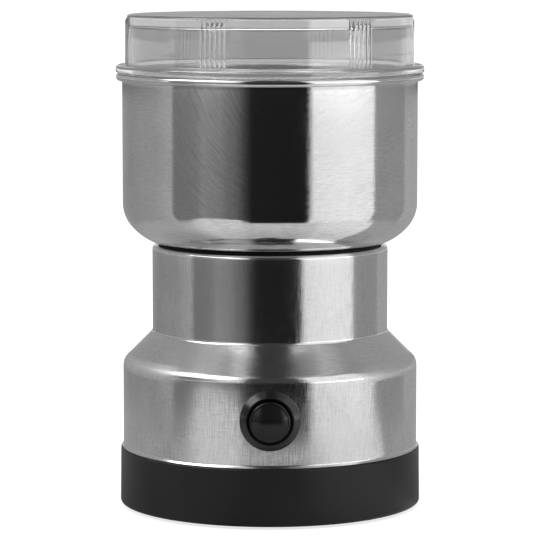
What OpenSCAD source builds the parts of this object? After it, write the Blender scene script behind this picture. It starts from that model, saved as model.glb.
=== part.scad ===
// Electric spice grinder: drawn steel bowl on a stepped steel body, clear lid,
// one push button, and a two-pole brush motor that hangs inside the neck.
// Millimetres, +Z up, origin at the centre of the footprint. The button faces -Y.

/* [Body shell] */
// Outside diameter of the lower body
body_d = 99.4; // [98:0.2:110]
// Outside diameter of the neck
neck_d = 79.5; // [79:0.5:88]
// Height of the straight lower wall above the base
wall_h = 29.1; // [27:0.1:45]
// Height of the sloping shoulder
shoulder_h = 10; // [8:0.5:16]
// Height of the neck above the shoulder
neck_h = 29; // [27:0.5:45]
// Thickness of the drawn steel sheet
sheet = 0.6; // [0.4:0.05:0.8]
// Outside radius where the wall turns into the shoulder
shoulder_fillet = 4; // [1:0.5:6]
// Radius where the shoulder meets the neck
waist_fillet = 1.5; // [1:0.25:4]
// Outside radius at the neck's top edge
neck_fillet = 1.3; // [1:0.1:2]
// Width of the lip turned inwards at the neck's top
lip_w = 4.2; // [3:0.1:5]
// How far the bottom edge flares outwards
flare = 0.5; // [0.2:0.1:0.8]

/* [Base] */
// Height of the moulded base up to its top edge
base_h = 19.2; // [18:0.2:26]
// How far the base's foot stands out beyond the body
base_proud = 1.1; // [1:0.1:3]
// How much the radius shrinks from foot to top edge
base_draft = 0.2; // [0:0.1:0.8]
// Wall thickness of the base
base_wall = 2.2; // [1.6:0.1:3]
// Floor thickness of the base
base_floor = 2.4; // [2:0.1:3]
// Height of the ring that centres the body shell
spigot_h = 3.2; // [2:0.2:5]
// Number of cooling slots in the floor
vent_count = 16; // [8:1:20]
// Width of a cooling slot
vent_w = 2.2; // [1.5:0.1:3]
// Number of rubber feet
foot_count = 4; // [3:1:6]
// Diameter of a rubber foot
foot_d = 11; // [8:0.5:12]
// Height of a foot below the base
foot_gap = 1; // [0.6:0.1:3]
// Diameter of the cord inlet's bore
cord_bore_d = 6.6; // [5:0.1:7.4]

/* [Bowl] */
// Outside diameter of the bowl's wall
bowl_d = 99.3; // [92:0.1:110]
// Height of the bowl from its underside to the top of the rim
bowl_h = 58.3; // [50:0.1:75]
// Height of the sloping foot of the bowl
bowl_slope_h = 10; // [7:0.5:14]
// How far the corner of that foot stands out beyond the neck
bowl_overhang = 0.9; // [0.4:0.1:2]
// Radius between wall and sloping foot
bowl_corner_r = 12; // [6:0.5:14]
// Radius between sloping foot and flat floor
bowl_foot_r = 19.6; // [8:0.2:20]
// Radius of the rolled rim
rim_roll_r = 1.35; // [1.2:0.05:2]
// Gap between the bowl and the inner edge of the neck's lip
lip_gap = 0.02; // [0.02:0.01:0.3]

/* [Lid] */
// Height of the lid above the bowl's rim
lid_h = 19.4; // [14:0.2:30]
// Depth of the skirt inside the bowl
skirt_h = 8; // [5:0.5:14]
// Wall thickness of the lid
lid_wall = 2.4; // [1.8:0.1:3]
// Thickness of the lid's top
lid_top_t = 3.6; // [2:0.1:4]
// Thickness of the flange that rests on the rim
flange_t = 2.6; // [2:0.1:4]
// Height above the flange where the cap starts to draw in
lid_step_h = 8.6; // [4:0.2:10]
// How far the cap draws in
lid_step = 0.38; // [0.2:0.02:0.8]
// Clearance between the lid's skirt and the bowl
lid_clearance = 0.7; // [0.4:0.05:1.2]
// Number of groups of grip ribs
rib_groups = 6; // [3:1:8]
// Ribs in one group
rib_count = 6; // [3:1:8]
// Angle from one rib to the next, degrees
rib_pitch = 2.1; // [1.8:0.1:3]
// How far a rib stands out
rib_proud = 0.22; // [0.14:0.02:0.5]

/* [Button] */
// Height of the button's axis above the base's top edge
button_rise = 15.6; // [12:0.1:20]
// Outside diameter of the bezel
bezel_d = 19.8; // [18:0.2:22]
// How far the bezel stands out from the body
bezel_proud = 2.3; // [1.5:0.1:4]
// Diameter of the switch barrel
barrel_d = 15.8; // [15:0.1:16.6]
// Diameter of the button cap
cap_d = 13.2; // [12:0.1:14]
// How far the cap's crown stands out from the bezel
cap_proud = 2.4; // [0.3:0.1:3]
// Travel of the button
button_travel = 2.5; // [1:0.1:3]
// Length of the terminals behind the barrel
terminal_l = 5; // [3:0.5:6]

/* [Cutter] */
// Tip-to-tip length of the blade
blade_l = 68; // [50:1:76]
// Width of a blade wing
blade_w = 11; // [8:0.5:14]
// Thickness of the blade
blade_t = 1.6; // [1.2:0.1:2.2]
// Pitch of the wings, degrees
blade_pitch = 16; // [0:1:22]
// How far the tip of the high wing rises
blade_lift = 7; // [0:0.5:10]
// How far the tip of the low wing drops
blade_drop = 2; // [0:0.5:3]
// Length of the spacer under the blade
spacer_h = 7.2; // [5:0.2:12]

/* [Motor] */
// Diameter of the spindle
shaft_d = 8; // [7:0.5:9]
// Diameter of the spindle's threaded end and lower journal
thread_d = 6; // [4:0.5:6]
// Length of the stator laminations, left to right
stator_w = 54; // [50:0.5:54.5]
// Depth of the stator laminations, front to back
stator_d = 44; // [42:0.5:46]
// Height of the lamination stack
stack_h = 22; // [16:0.5:23]
// Diameter of the rotor
rotor_d = 29; // [26:0.5:29.4]
// Gap between rotor and stator
air_gap = 0.4; // [0.35:0.05:0.8]
// Slots in the rotor
rotor_slots = 12; // [8:1:12]
// Diameter of the commutator
commutator_d = 19; // [17:0.5:19.6]
// Bars of the commutator
commutator_bars = 24; // [12:2:24]
// Diameter of the cooling fan
fan_d = 40; // [34:0.5:41]
// Blades of the fan
fan_blades = 9; // [5:1:11]
// Thickness of the rubber dampers
damper_t = 1.5; // [1:0.1:2.5]
// Length of a carbon brush
brush_l = 7.5; // [5:0.5:8]

/* [Hidden] */

$fn = 96;
fine = 48;          // facets of small round features
eps = 1;            // overshoot of cutting shapes
touch = 0.03;       // gap between curved faces that touch in one body
run_fit = 0.05;     // radial clearance of a running fit
seat = 0.1;         // gap between faces of two bodies at rest
loose = 0.3;        // clearance between parts that pass each other

// Heights of the body, from the table up
base_z = foot_gap;
base_top = base_z + base_h;
corner_z = base_top + wall_h;
waist_z = corner_z + shoulder_h;
neck_top = waist_z + neck_h;

// Radii of the body
body_r = body_d / 2;
neck_r = neck_d / 2;
body_in_r = body_r - sheet;
neck_in_r = neck_r - sheet;
lip_in_r = neck_r - lip_w;
foot_r = body_r + base_proud;
spigot_r = body_in_r - 2 * seat;
base_in_r = foot_r - base_draft - base_wall;
bowl_r = bowl_d / 2;
bowl_in_r = bowl_r - sheet;
rim_r = bowl_in_r + rim_roll_r;
rim_out_r = rim_r + rim_roll_r;
lid_r = bowl_in_r - lid_clearance;
flange_r = rim_out_r + 0.05;
foot_ring_r = base_in_r - foot_d / 2 - 1.4;

// The bowl sits so low that its rounded foot just clears the lip's inner edge
bowl_rest = bowl_outline(0);
foot_bend_r = corner_r(bowl_rest, 1);
foot_run = max(0, lip_in_r - bowl_rest[1][0] + cut_len(bowl_rest, 1));
foot_rise = foot_bend_r - sqrt(pow(foot_bend_r, 2) - pow(foot_run, 2));
bowl_z = neck_top + lip_gap - foot_rise;
rim_top = bowl_z + bowl_h;
rim_z = rim_top - rim_roll_r;
lid_z = rim_top + seat;
lid_top = lid_z + lid_h;

gasket_inset = 0.4;
gasket_w = 0.4 * lip_w;
spigot_t = 1.8;
spigot_root_z = base_top - 4.5;

// Pillars that join the motor mount to the base
pillar_r = 4.2;
pillar_ring_r = neck_in_r - pillar_r - 1.4;
pillar_angles = [0, 120, 240];
boss_top = base_z + 8;
screw_head_r = 3.6;
pilot_r = 1.55;
screw_recess = 4.2;
base_screw_h = 2.4;
base_screw_l = 14;

// Motor mount, dampers and bracket heights, from the neck's lip down
mount_t = 5.7;
mount_top = neck_top - sheet;
mount_z = mount_top - mount_t;
bracket_t = 3;
bracket_z = mount_z - damper_t - bracket_t;
upper_leg = 19.5;
stack_top = bracket_z - upper_leg;
stack_z = stack_top - stack_h;
end_turn = 7.5;
damper_ring_r = 24.5;
damper_r = 5;
damper_waist_r = 3.4;
m3_r = 1.5;
m3_head_r = 3.1;
bolt_head_r = 2.6;
damper_screw_hold = 4;
upper_boss_up = 3.4;
upper_boss_down = 2.4;
bearing_lip = 0.8;
coil_corner = 6;
bowl_screw_ring_r = 24;
bowl_screw_angles = [60, 180, 300];
m4_r = 1.9;

// Spindle levels
shaft_r = shaft_d / 2;
thread_r = thread_d / 2;
boss_r = 9.2;
upper_boss_top = mount_z + upper_boss_up;
upper_boss_z = bracket_z - upper_boss_down;
bush_r = 6;
seal_z = bowl_z - 1.4;
seal_top = bowl_z + sheet + 1.8;
seal_waist_r = 7.9;
seal_r = 11.5;
seal_low_r = 10.5;
mount_bore_r = 13;
commutator_wall = 3;
bolt_thread_l = 9;
spacer_z = seal_top + loose;
blade_z = spacer_z + spacer_h;
blade_hub_r = 8.5;
washer_t = 1;
nut_h = 5;
spacer_foot = 5;
spacer_neck = 2.6;
shaft_top = blade_z + blade_t + washer_t + nut_h - 0.4;
commutator_h = 10;
riser_h = 1.2;
winding_h = end_turn - 1;
riser_top = stack_z - winding_h - 0.2;
commutator_z = riser_top - riser_h - commutator_h;
thrust_t = 0.8;
hub_z = commutator_z - 0.6;
lower_boss_top = hub_z - thrust_t - 2 * seat;
lower_plate_z = lower_boss_top - bracket_t - 2.4;
lower_boss_z = lower_plate_z - 4.6;
lower_boss_r = 7.5;
lower_bush_r = 5;
shaft_z = lower_boss_z + 1.8;
journal_top = hub_z - seat / 2;
fan_z = stack_top + end_turn + 2;
fan_h = upper_boss_z - fan_z - 1.4;
fan_r = fan_d / 2;
rotor_r = rotor_d / 2;
stator_bore_r = rotor_r + air_gap;

// Stator windows, poles and field coils
stator_corner = 6;
back_iron = 4;
end_iron = 6;
pole_half_w = 8;
shoe_t = 3;
shoe_half_angle = 58;
coil_t = 3.8;
coil_clear = 0.3;
bolt_x = stator_w / 2 - 2.6;
bolt_hole_r = m3_r + 0.25;
leg_w = 4.7;
leg_half_d = 7;

// Brushes, along Y at the commutator's middle
commutator_r = commutator_d / 2;
brush_w = 5;
brush_h = 6;
tube_t = 0.6;
tube_l = 13;
tube_start = commutator_r + 1.3;
tube_end = tube_start + tube_l;
brush_z = commutator_z + 5.1;
brush_start = commutator_r + loose;
arm_half_w = 6;

// Push switch, in its own frame: z runs out of the body, z = 0 on the body's front line
button_z = base_top + button_rise;
barrel_r = barrel_d / 2;
bezel_r = bezel_d / 2;
cap_r = cap_d / 2;
bore_r = cap_r + loose + touch;
shelf_z = -5.6;
shelf_t = 1.5;
stem_r = 2;
chamber_r = barrel_r - 1.4;
back_t = 2.5;
clip_t = 0.8;
bridge_t = 0.6;
bridge_gap = 2.4;
bridge_z = shelf_z - shelf_t - clip_t - bridge_gap;
pad_t = 0.5;
pad_z = bridge_z - bridge_t - button_travel - 2 * seat;
back_z = pad_z - pad_t - 4 * seat - back_t;
barrel_len = pad_t - back_z;
crown_t = 1.6;
crown_rise = 1.1;
crown_z = bezel_proud + cap_proud;
cap_rim_z = crown_z - crown_rise;
cap_roof_z = cap_rim_z - 1.4;
nut_corner_r = bezel_r + 0.8;
nut_front = sqrt(pow(body_in_r, 2) - pow(nut_corner_r, 2)) - body_r - seat;
nut_t = 3;
gland_z = (base_z + base_floor + spigot_root_z) / 2;
gland_neck_r = cord_bore_d / 2 + 1.3;
gland_flange_r = gland_neck_r + 1.8;
gland_back_r = gland_neck_r + 0.8;

// ---------------------------------------------------------------- outlines

function unit(v) = v / norm(v);
function flat(v) = [v[0], v[1]];
function cyc(v, i) = v[(i + len(v)) % len(v)];
function edge_in(v, i) = flat(cyc(v, i)) - flat(cyc(v, i - 1));
function edge_out(v, i) = flat(cyc(v, i + 1)) - flat(cyc(v, i));
function cross2(a, b) = a[0] * b[1] - a[1] * b[0];
function bend(v, i) = cross2(unit(edge_in(v, i)), unit(edge_out(v, i)));
function along(v, i) = unit(edge_in(v, i)) * unit(edge_out(v, i));
function tan_half(v, i) = abs(bend(v, i)) / (1 + along(v, i));
// Length that a fillet would take from each of its two edges
function wish(v, i) = cyc(v, i)[2] * tan_half(v, i);
// Share of its wish that the edge after corner i can give to both ends
function share(v, i) = min(1, 0.98 * norm(edge_out(v, i)) / max(0.001, wish(v, i) + wish(v, i + 1)));
function cut_len(v, i) = wish(v, i) * min(share(v, i - 1), share(v, i));
function corner_r(v, i) = cut_len(v, i) / tan_half(v, i);
function is_round(v, i) = cyc(v, i)[2] > 0 && abs(bend(v, i)) > 0.001;
function corner_centre(v, i) =
    let (d = unit(edge_in(v, i)), side = bend(v, i) > 0 ? 1 : -1)
    flat(v[i]) - d * cut_len(v, i) + side * corner_r(v, i) * [-d[1], d[0]];
function corner_points(v, i) = is_round(v, i)
    ? [flat(v[i]) - unit(edge_in(v, i)) * cut_len(v, i),
       flat(v[i]) + unit(edge_out(v, i)) * cut_len(v, i)]
    : [flat(v[i])];

// Closed outline with true arcs at its corners. Corners are [x, y, radius], counter-clockwise.
module rounded(corners) {
    difference() {
        union() {
            polygon([for (i = [0 : len(corners) - 1]) for (p = corner_points(corners, i)) p]);
            for (i = [0 : len(corners) - 1])
                if (is_round(corners, i) && bend(corners, i) > 0) corner_sector(corners, i);
        }
        for (i = [0 : len(corners) - 1])
            if (is_round(corners, i) && bend(corners, i) < 0) corner_sector(corners, i);
    }
}

// Sector of a corner's fillet circle, between its two tangent points
module corner_sector(v, i) {
    ends = corner_points(v, i);
    intersection() {
        translate(corner_centre(v, i)) circle(corner_r(v, i));
        polygon([corner_centre(v, i), ends[0], flat(v[i]), ends[1]]);
    }
}

module rounded_box(w, d, r) {
    rounded([[-w / 2, -d / 2, r], [w / 2, -d / 2, r], [w / 2, d / 2, r], [-w / 2, d / 2, r]]);
}

// Open path moved sideways by t, to its left. Convex radii shrink and concave radii grow.
function left_of(e) = [-unit(e)[1], unit(e)[0]];
function path_shift(p, i, t) =
    i == 0 ? left_of(flat(p[1]) - flat(p[0])) * t
    : i == len(p) - 1 ? left_of(flat(p[i]) - flat(p[i - 1])) * t
    : let (a = left_of(flat(p[i]) - flat(p[i - 1])), b = left_of(flat(p[i + 1]) - flat(p[i])))
        (a + b) * t / (1 + a * b);
function path_radius(p, i, t) = p[i][2] == 0 ? 0
    : max(0.05, p[i][2] - t * sign(cross2(flat(p[i]) - flat(p[i - 1]), flat(p[i + 1]) - flat(p[i]))));
function inset(p, t) = [for (i = [0 : len(p) - 1])
    concat(flat(p[i]) + path_shift(p, i, t), [path_radius(p, i, t)])];

// Half section that fills a path from bottom to top in to the axis
module filled(p) {
    rounded(concat([[0, p[0][1], 0]], p, [[0, p[len(p) - 1][1], 0]]));
}

// Path with its first point dropped by eps, so a cut runs out through the bottom
function dropped(p) = concat([[p[0][0], p[0][1] - eps, 0]], p);

module ring(outer, inner, z, h) {
    translate([0, 0, z]) difference() {
        cylinder(r = outer, h = h);
        translate([0, 0, -eps]) cylinder(r = inner, h = h + 2 * eps);
    }
}

module around(angles, r) {
    for (a = angles) rotate([0, 0, a]) translate([r, 0, 0]) children();
}

// Frame of the push switch: z out of the body's front, x to the right, y up
module at_switch() {
    translate([0, -body_r, button_z]) rotate([90, 0, 0]) children();
}

// Helical wire standing on z = 0
module spring_wire(coil_r, wire_r, length, turns) {
    sides = 6;
    steps = ceil(turns * 12);
    rise = length - 2 * wire_r;
    points = [for (i = [0 : steps]) for (j = [0 : sides - 1])
        let (a = 360 * turns * i / steps, b = 360 * j / sides, r = coil_r + wire_r * cos(b))
        [r * cos(a), r * sin(a), wire_r + rise * i / steps + wire_r * sin(b)]];
    walls = [for (i = [0 : steps - 1]) for (j = [0 : sides - 1])
        let (k = (j + 1) % sides)
        [i * sides + j, (i + 1) * sides + j, (i + 1) * sides + k, i * sides + k]];
    ends = [[for (j = [0 : sides - 1]) j],
            [for (j = [sides - 1 : -1 : 0]) steps * sides + j]];
    polyhedron(points, concat(walls, ends), convexity = 4);
}

// ---------------------------------------------------------------- lid and bowl

module lid() {
    grip_h = lid_top - 1 - (lid_z + flange_t - 0.2);
    step_z = lid_z + flange_t + lid_step_h;
    color([0.86, 0.88, 0.9, 0.35]) union() {
        rotate_extrude() difference() {
            rounded([[0, lid_z - skirt_h, 0], [lid_r, lid_z - skirt_h, 0.6], [lid_r, lid_z, 0],
                     [flange_r, lid_z, 0.4], [flange_r, lid_z + flange_t, 1.2],
                     [lid_r, lid_z + flange_t, 0.5], [lid_r, step_z, 30],
                     [lid_r - lid_step, step_z + 12 * lid_step, 30],
                     [lid_r - lid_step, lid_top, 0.9], [0, lid_top, 0]]);
            rounded([[0, lid_z - skirt_h - eps, 0], [lid_r - lid_wall, lid_z - skirt_h - eps, 0],
                     [lid_r - lid_wall, lid_top - lid_top_t, 2], [0, lid_top - lid_top_t, 0]]);
        }
        for (g = [0 : rib_groups - 1], i = [0 : rib_count - 1])
            rotate([0, 0, 360 * g / rib_groups - 22 + rib_pitch * (i - (rib_count - 1) / 2)])
                translate([0, rib_proud * 2 - lid_r - rib_proud, lid_z + flange_t - 0.2])
                    cylinder(r = rib_proud * 2, h = grip_h, $fn = 24);
    }
}

// Half section of the bowl below the rim, standing on z. The last corner is on the axis.
function bowl_outline(z) = [[0, z, 0],
                            [neck_r + bowl_overhang, z, bowl_foot_r],
                            [bowl_r, z + bowl_slope_h, bowl_corner_r],
                            [bowl_r, z + bowl_h - rim_roll_r, 0],
                            [0, z + bowl_h - rim_roll_r, 0]];

module bowl_solid(t) {
    wall = [for (i = [0 : 3]) bowl_outline(bowl_z)[i]];
    rounded(concat(inset(wall, t), [[0, rim_z, 0]]));
}

module rolled_rim() {
    translate([rim_r, rim_z]) difference() {
        circle(rim_roll_r, $fn = fine);
        circle(rim_roll_r - sheet, $fn = fine);
        polygon([[0, 0], [-2 * rim_roll_r, 0], [-2 * rim_roll_r, -2 * rim_roll_r],
                 [-0.3 * rim_roll_r, -2 * rim_roll_r]]);
    }
}

module bowl() {
    color([0.75, 0.75, 0.76]) difference() {
        rotate_extrude() {
            difference() {
                bowl_solid(0);
                bowl_solid(sheet);
                translate([0, rim_z]) square([bowl_in_r, eps]);
            }
            rolled_rim();
        }
        translate([0, 0, bowl_z - eps]) cylinder(r = seal_waist_r + touch, h = sheet + 2 * eps);
        around(bowl_screw_angles, bowl_screw_ring_r)
            translate([0, 0, bowl_z - eps]) cylinder(r = m4_r + 0.3, h = sheet + 2 * eps, $fn = fine);
    }
}

module bowl_gasket() {
    color([0.08, 0.08, 0.08]) rotate_extrude() difference() {
        translate([lip_in_r + gasket_inset, neck_top]) square([gasket_w, 3]);
        bowl_solid(-touch, $fn = 360);
    }
}

// ---------------------------------------------------------------- body shell and base

shell_path = [[body_r + flare, base_top, 0],
              [body_r, base_top + 1.4 * flare, 0.8],
              [body_r, corner_z, shoulder_fillet],
              [neck_r, waist_z, waist_fillet],
              [neck_r, neck_top, neck_fillet],
              [lip_in_r, neck_top, 0]];

module body_shell() {
    color([0.75, 0.75, 0.76]) difference() {
        rotate_extrude() difference() {
            filled(shell_path);
            filled(dropped(inset(shell_path, sheet)));
            translate([-eps, neck_top - 2 * eps]) square([lip_in_r + eps, 3 * eps]);
        }
        at_switch() translate([0, 0, -body_r / 2])
            cylinder(r = barrel_r + 2 * seat, h = body_r, $fn = fine);
    }
}

module base_profile() {
    rounded([[0, base_z, 0], [foot_r, base_z, 0.8], [foot_r - base_draft, base_top, 0.9],
             [spigot_r, base_top, 0], [spigot_r, base_top + spigot_h, 0.5],
             [spigot_r - spigot_t, base_top + spigot_h, 0],
             [spigot_r - spigot_t, spigot_root_z + 1.5, 0],
             [base_in_r, spigot_root_z, 0], [base_in_r, base_z + base_floor, 1],
             [0, base_z + base_floor, 0]]);
}

module vent_slots() {
    near = 12;
    far = 25;
    for (a = [0 : 360 / vent_count : 359]) rotate([0, 0, a]) {
        translate([near, -vent_w / 2]) square([far - near, vent_w]);
        translate([near, 0]) circle(vent_w / 2, $fn = fine);
        translate([far, 0]) circle(vent_w / 2, $fn = fine);
    }
}

module base() {
    color([0.09, 0.09, 0.1]) difference() {
        union() {
            rotate_extrude() base_profile();
            around(pillar_angles, pillar_ring_r)
                translate([0, 0, base_z + 1]) cylinder(r = 5.4, h = boss_top - base_z - 1, $fn = fine);
            ring(29, 27.4, base_z + 1, 4);
        }
        around(pillar_angles, pillar_ring_r) {
            translate([0, 0, base_z - eps])
                cylinder(r = screw_head_r + 0.5, h = screw_recess + eps, $fn = fine);
            cylinder(r = m4_r + 0.2, h = base_top, $fn = fine);
        }
        foot_places() translate([0, 0, base_z - eps])
            cylinder(r = foot_d / 2 + 2 * touch, h = 1.2 + eps, $fn = fine);
        translate([0, 0, base_z - eps]) linear_extrude(base_floor + 2 * eps) vent_slots();
        translate([0, base_in_r - 3, gland_z]) rotate([-90, 0, 0])
            cylinder(r = gland_neck_r + touch, h = 3 * base_wall, $fn = fine);
    }
}

module foot_places() {
    for (i = [0 : foot_count - 1])
        rotate([0, 0, 360 * (i + 0.5) / foot_count]) translate([foot_ring_r, 0, 0]) children();
}

module rubber_feet() {
    color([0.06, 0.06, 0.06]) foot_places() rotate_extrude($fn = fine)
        rounded([[0, 0, 0], [foot_d / 2, 0, 0.4], [foot_d / 2, foot_gap + 1.2, 0],
                 [0, foot_gap + 1.2, 0]]);
}

// Pan-head screw standing on its head's top at z = 0, shank pointing up
module screw(shank_r, shank_l, head_r, head_h) {
    difference() {
        union() {
            rotate_extrude($fn = fine)
                rounded([[0, 0, 0], [head_r, 0, head_h * 0.6], [head_r, head_h, 0], [0, head_h, 0]]);
            cylinder(r = shank_r, h = head_h + shank_l - 0.6, $fn = fine);
            translate([0, 0, head_h + shank_l - 0.6])
                cylinder(r1 = shank_r, r2 = shank_r * 0.5, h = 0.6, $fn = fine);
        }
        for (a = [0, 90]) rotate([0, 0, a])
            translate([-head_r * 0.55, -0.4, -eps]) cube([head_r * 1.1, 0.8, eps + head_h * 0.45]);
    }
}

module base_screws() {
    color([0.7, 0.7, 0.72]) around(pillar_angles, pillar_ring_r)
        translate([0, 0, base_z + screw_recess - base_screw_h])
            screw(pilot_r - touch, base_screw_l, screw_head_r, base_screw_h);
}

// Rubber bush in the base's rear wall, with an open bore for the cord
module cord_gland() {
    outer_face = body_r + crown_z;
    inner_face = base_in_r - 1.8;
    color([0.05, 0.05, 0.05]) translate([0, 0, gland_z]) rotate([-90, 0, 0]) difference() {
        union() {
            difference() {
                cylinder(r = gland_flange_r, h = outer_face, $fn = fine);
                rotate([90, 0, 0]) translate([0, 0, -2 * gland_flange_r])
                    cylinder(r = foot_r + touch, h = 4 * gland_flange_r);
            }
            intersection() {
                cylinder(r = gland_back_r, h = outer_face, $fn = fine);
                rotate([90, 0, 0]) translate([0, 0, -2 * gland_flange_r])
                    cylinder(r = base_in_r - touch, h = 4 * gland_flange_r);
            }
            cylinder(r = gland_neck_r, h = outer_face - 0.5, $fn = fine);
        }
        translate([0, 0, -eps]) cylinder(r = cord_bore_d / 2, h = outer_face + 2 * eps, $fn = fine);
        translate([-body_r, -body_r, -eps]) cube([body_d, body_d, inner_face + eps]);
    }
}

// ---------------------------------------------------------------- push switch

module switch_housing() {
    color([0.07, 0.07, 0.07]) at_switch() difference() {
        union() {
            difference() {
                rotate_extrude() rounded([[0, -3, 0], [bezel_r, -3, 0], [bezel_r, bezel_proud * 0.2, 0.3],
                                          [bore_r + 0.85, bezel_proud, 0.3], [0, bezel_proud, 0]]);
                translate([0, 0, -body_r]) rotate([90, 0, 0]) translate([0, 0, -bezel_d])
                    cylinder(r = body_r + touch, h = 2 * bezel_d);
            }
            translate([0, 0, -barrel_len]) cylinder(r = barrel_r, h = barrel_len, $fn = fine);
        }
        translate([0, 0, shelf_z]) cylinder(r = bore_r, h = bezel_proud - shelf_z + eps, $fn = fine);
        translate([0, 0, bezel_proud - 0.8])
            cylinder(r1 = bore_r, r2 = bore_r + 0.8, h = 0.8 + touch, $fn = fine);
        translate([0, 0, -barrel_len]) cylinder(r = stem_r + run_fit, h = barrel_len, $fn = fine);
        translate([0, 0, -barrel_len - eps])
            cylinder(r = chamber_r, h = barrel_len + eps + shelf_z - shelf_t, $fn = fine);
    }
}

module switch_nut() {
    color([0.1, 0.1, 0.1]) at_switch() translate([0, 0, nut_front - nut_t]) difference() {
        cylinder(r = nut_corner_r, h = nut_t, $fn = 6);
        translate([0, 0, -eps]) cylinder(r = barrel_r + touch, h = nut_t + 2 * eps, $fn = fine);
    }
}

module terminal_slots(grow) {
    for (s = [-1, 1]) translate([s * 3.6 - 0.4 - grow, -2.4 - grow]) square([0.8 + 2 * grow, 4.8 + 2 * grow]);
}

module switch_back() {
    color([0.55, 0.36, 0.2]) at_switch() translate([0, 0, back_z]) difference() {
        cylinder(r = chamber_r - touch, h = back_t, $fn = fine);
        translate([0, 0, -eps]) linear_extrude(back_t + 2 * eps) terminal_slots(touch);
    }
}

module switch_terminals() {
    color([0.75, 0.55, 0.2]) at_switch() {
        translate([0, 0, back_z - terminal_l])
            linear_extrude(pad_z - pad_t - back_z + terminal_l) terminal_slots(0);
        for (s = [-1, 1]) translate([s * 3.6, 0, pad_z - pad_t]) cylinder(r = 1.2, h = pad_t, $fn = 24);
    }
}

module button_cap() {
    color([0.06, 0.06, 0.06]) at_switch() union() {
        rotate_extrude() difference() {
            union() {
                rounded([[0, shelf_z + button_travel + loose, 0], [cap_r, shelf_z + button_travel + loose, 0],
                         [cap_r, cap_rim_z, 0.5], [0, cap_rim_z, 0]]);
                dome();
            }
            square_ring(stem_r, cap_r - 1.2, -2 * barrel_len, cap_roof_z);
        }
        translate([0, 0, bridge_z - bridge_t - 0.3])
            cylinder(r = stem_r, h = crown_z - crown_t - bridge_z, $fn = fine);
    }
}

// Shallow dome over the cap's rim, a slice of a large circle
module dome() {
    rise = crown_z - cap_rim_z;
    half = cap_r - 0.6;
    big = (half * half + rise * rise) / (2 * rise);
    intersection() {
        translate([0, crown_z - big]) circle(big, $fn = 360);
        translate([0, cap_rim_z - 0.2]) square([half, rise + 1]);
    }
}

module square_ring(inner, outer, z0, z1) {
    translate([inner, z0]) square([outer - inner, z1 - z0]);
}

module button_clip() {
    color([0.8, 0.8, 0.82]) at_switch() ring(4.2, stem_r + touch, shelf_z - shelf_t - seat - clip_t, clip_t);
}

module contact_bridge() {
    color([0.8, 0.5, 0.25]) at_switch() difference() {
        union() {
            translate([-5, -1.6, bridge_z - bridge_t]) cube([10, 3.2, bridge_t]);
            translate([0, 0, bridge_z - bridge_t]) cylinder(r = 3.2, h = bridge_t, $fn = fine);
        }
        translate([0, 0, bridge_z - bridge_t - eps])
            cylinder(r = stem_r + touch, h = bridge_t + 2 * eps, $fn = fine);
    }
}

module button_spring() {
    spring_seat = shelf_z + touch;
    color([0.8, 0.8, 0.82]) at_switch() translate([0, 0, spring_seat])
        spring_wire(3.3, 0.3, cap_roof_z - spring_seat - touch, 5.5);
}

// ---------------------------------------------------------------- motor mount

module motor_mount() {
    plate_r = neck_in_r - 2 * seat;
    hub_r = lip_in_r - 2 * seat;
    color([0.2, 0.2, 0.22]) difference() {
        union() {
            rotate_extrude() rounded([[mount_bore_r, mount_z, 0], [plate_r, mount_z, 0.5],
                                      [plate_r, mount_top, 0.9], [hub_r, mount_top, 0],
                                      [hub_r, neck_top - 0.6, 0], [hub_r - 4, bowl_z, 0],
                                      [mount_bore_r, bowl_z, 0]]);
            around(pillar_angles, pillar_ring_r)
                translate([0, 0, boss_top]) cylinder(r = pillar_r, h = mount_z - boss_top + eps, $fn = fine);
            ring(plate_r - 4.4, plate_r - 6.2, mount_z - 3, 3 + eps);
        }
        rotate_extrude() bowl_solid(-touch);
        around(pillar_angles, pillar_ring_r)
            translate([0, 0, boss_top - eps]) cylinder(r = pilot_r, h = 16, $fn = fine);
        around(bowl_screw_angles, bowl_screw_ring_r)
            translate([0, 0, mount_z + 0.8]) cylinder(r = m4_r + touch, h = mount_t + eps, $fn = fine);
        around([90, 270], damper_ring_r)
            translate([0, 0, mount_z - eps]) cylinder(r = m3_r + touch, h = 4.4 + eps, $fn = fine);
    }
}

module bowl_screws() {
    head_h = 2;
    color([0.8, 0.8, 0.82]) around(bowl_screw_angles, bowl_screw_ring_r)
        translate([0, 0, bowl_z + sheet + head_h]) rotate([180, 0, 0])
            screw(m4_r, mount_t - 3 * loose, screw_head_r, head_h);
}

module shaft_seal() {
    color([0.1, 0.1, 0.1]) rotate_extrude() difference() {
        union() {
            rounded([[0, seal_z, 0], [seal_low_r, seal_z, 0.4], [seal_low_r, bowl_z - touch, 0],
                     [0, bowl_z - touch, 0]]);
            square_ring(0, seal_waist_r, seal_z, seal_top - 0.5);
            rounded([[0, bowl_z + sheet + touch, 0], [seal_r, bowl_z + sheet + touch, 0],
                     [seal_r, bowl_z + sheet + 0.8, 0], [seal_r - 3, seal_top, 0], [0, seal_top, 0]]);
        }
        square_ring(-eps, shaft_r + run_fit, seal_z - eps, seal_top + eps);
    }
}

// ---------------------------------------------------------------- motor frame

module motor_dampers() {
    flange = damper_t - seat / 2;
    color([0.12, 0.12, 0.12]) around([90, 270], damper_ring_r) difference() {
        union() {
            translate([0, 0, bracket_z - flange - seat / 2]) cylinder(r = damper_r, h = flange, $fn = fine);
            translate([0, 0, bracket_z - flange])
                cylinder(r = damper_waist_r, h = bracket_t + 2 * flange, $fn = fine);
            translate([0, 0, bracket_z + bracket_t + seat / 2])
                cylinder(r = damper_r, h = flange - seat / 2, $fn = fine);
        }
        translate([0, 0, bracket_z - 3 * damper_t])
            cylinder(r = m3_r + touch, h = bracket_t + 6 * damper_t, $fn = fine);
    }
}

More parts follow.
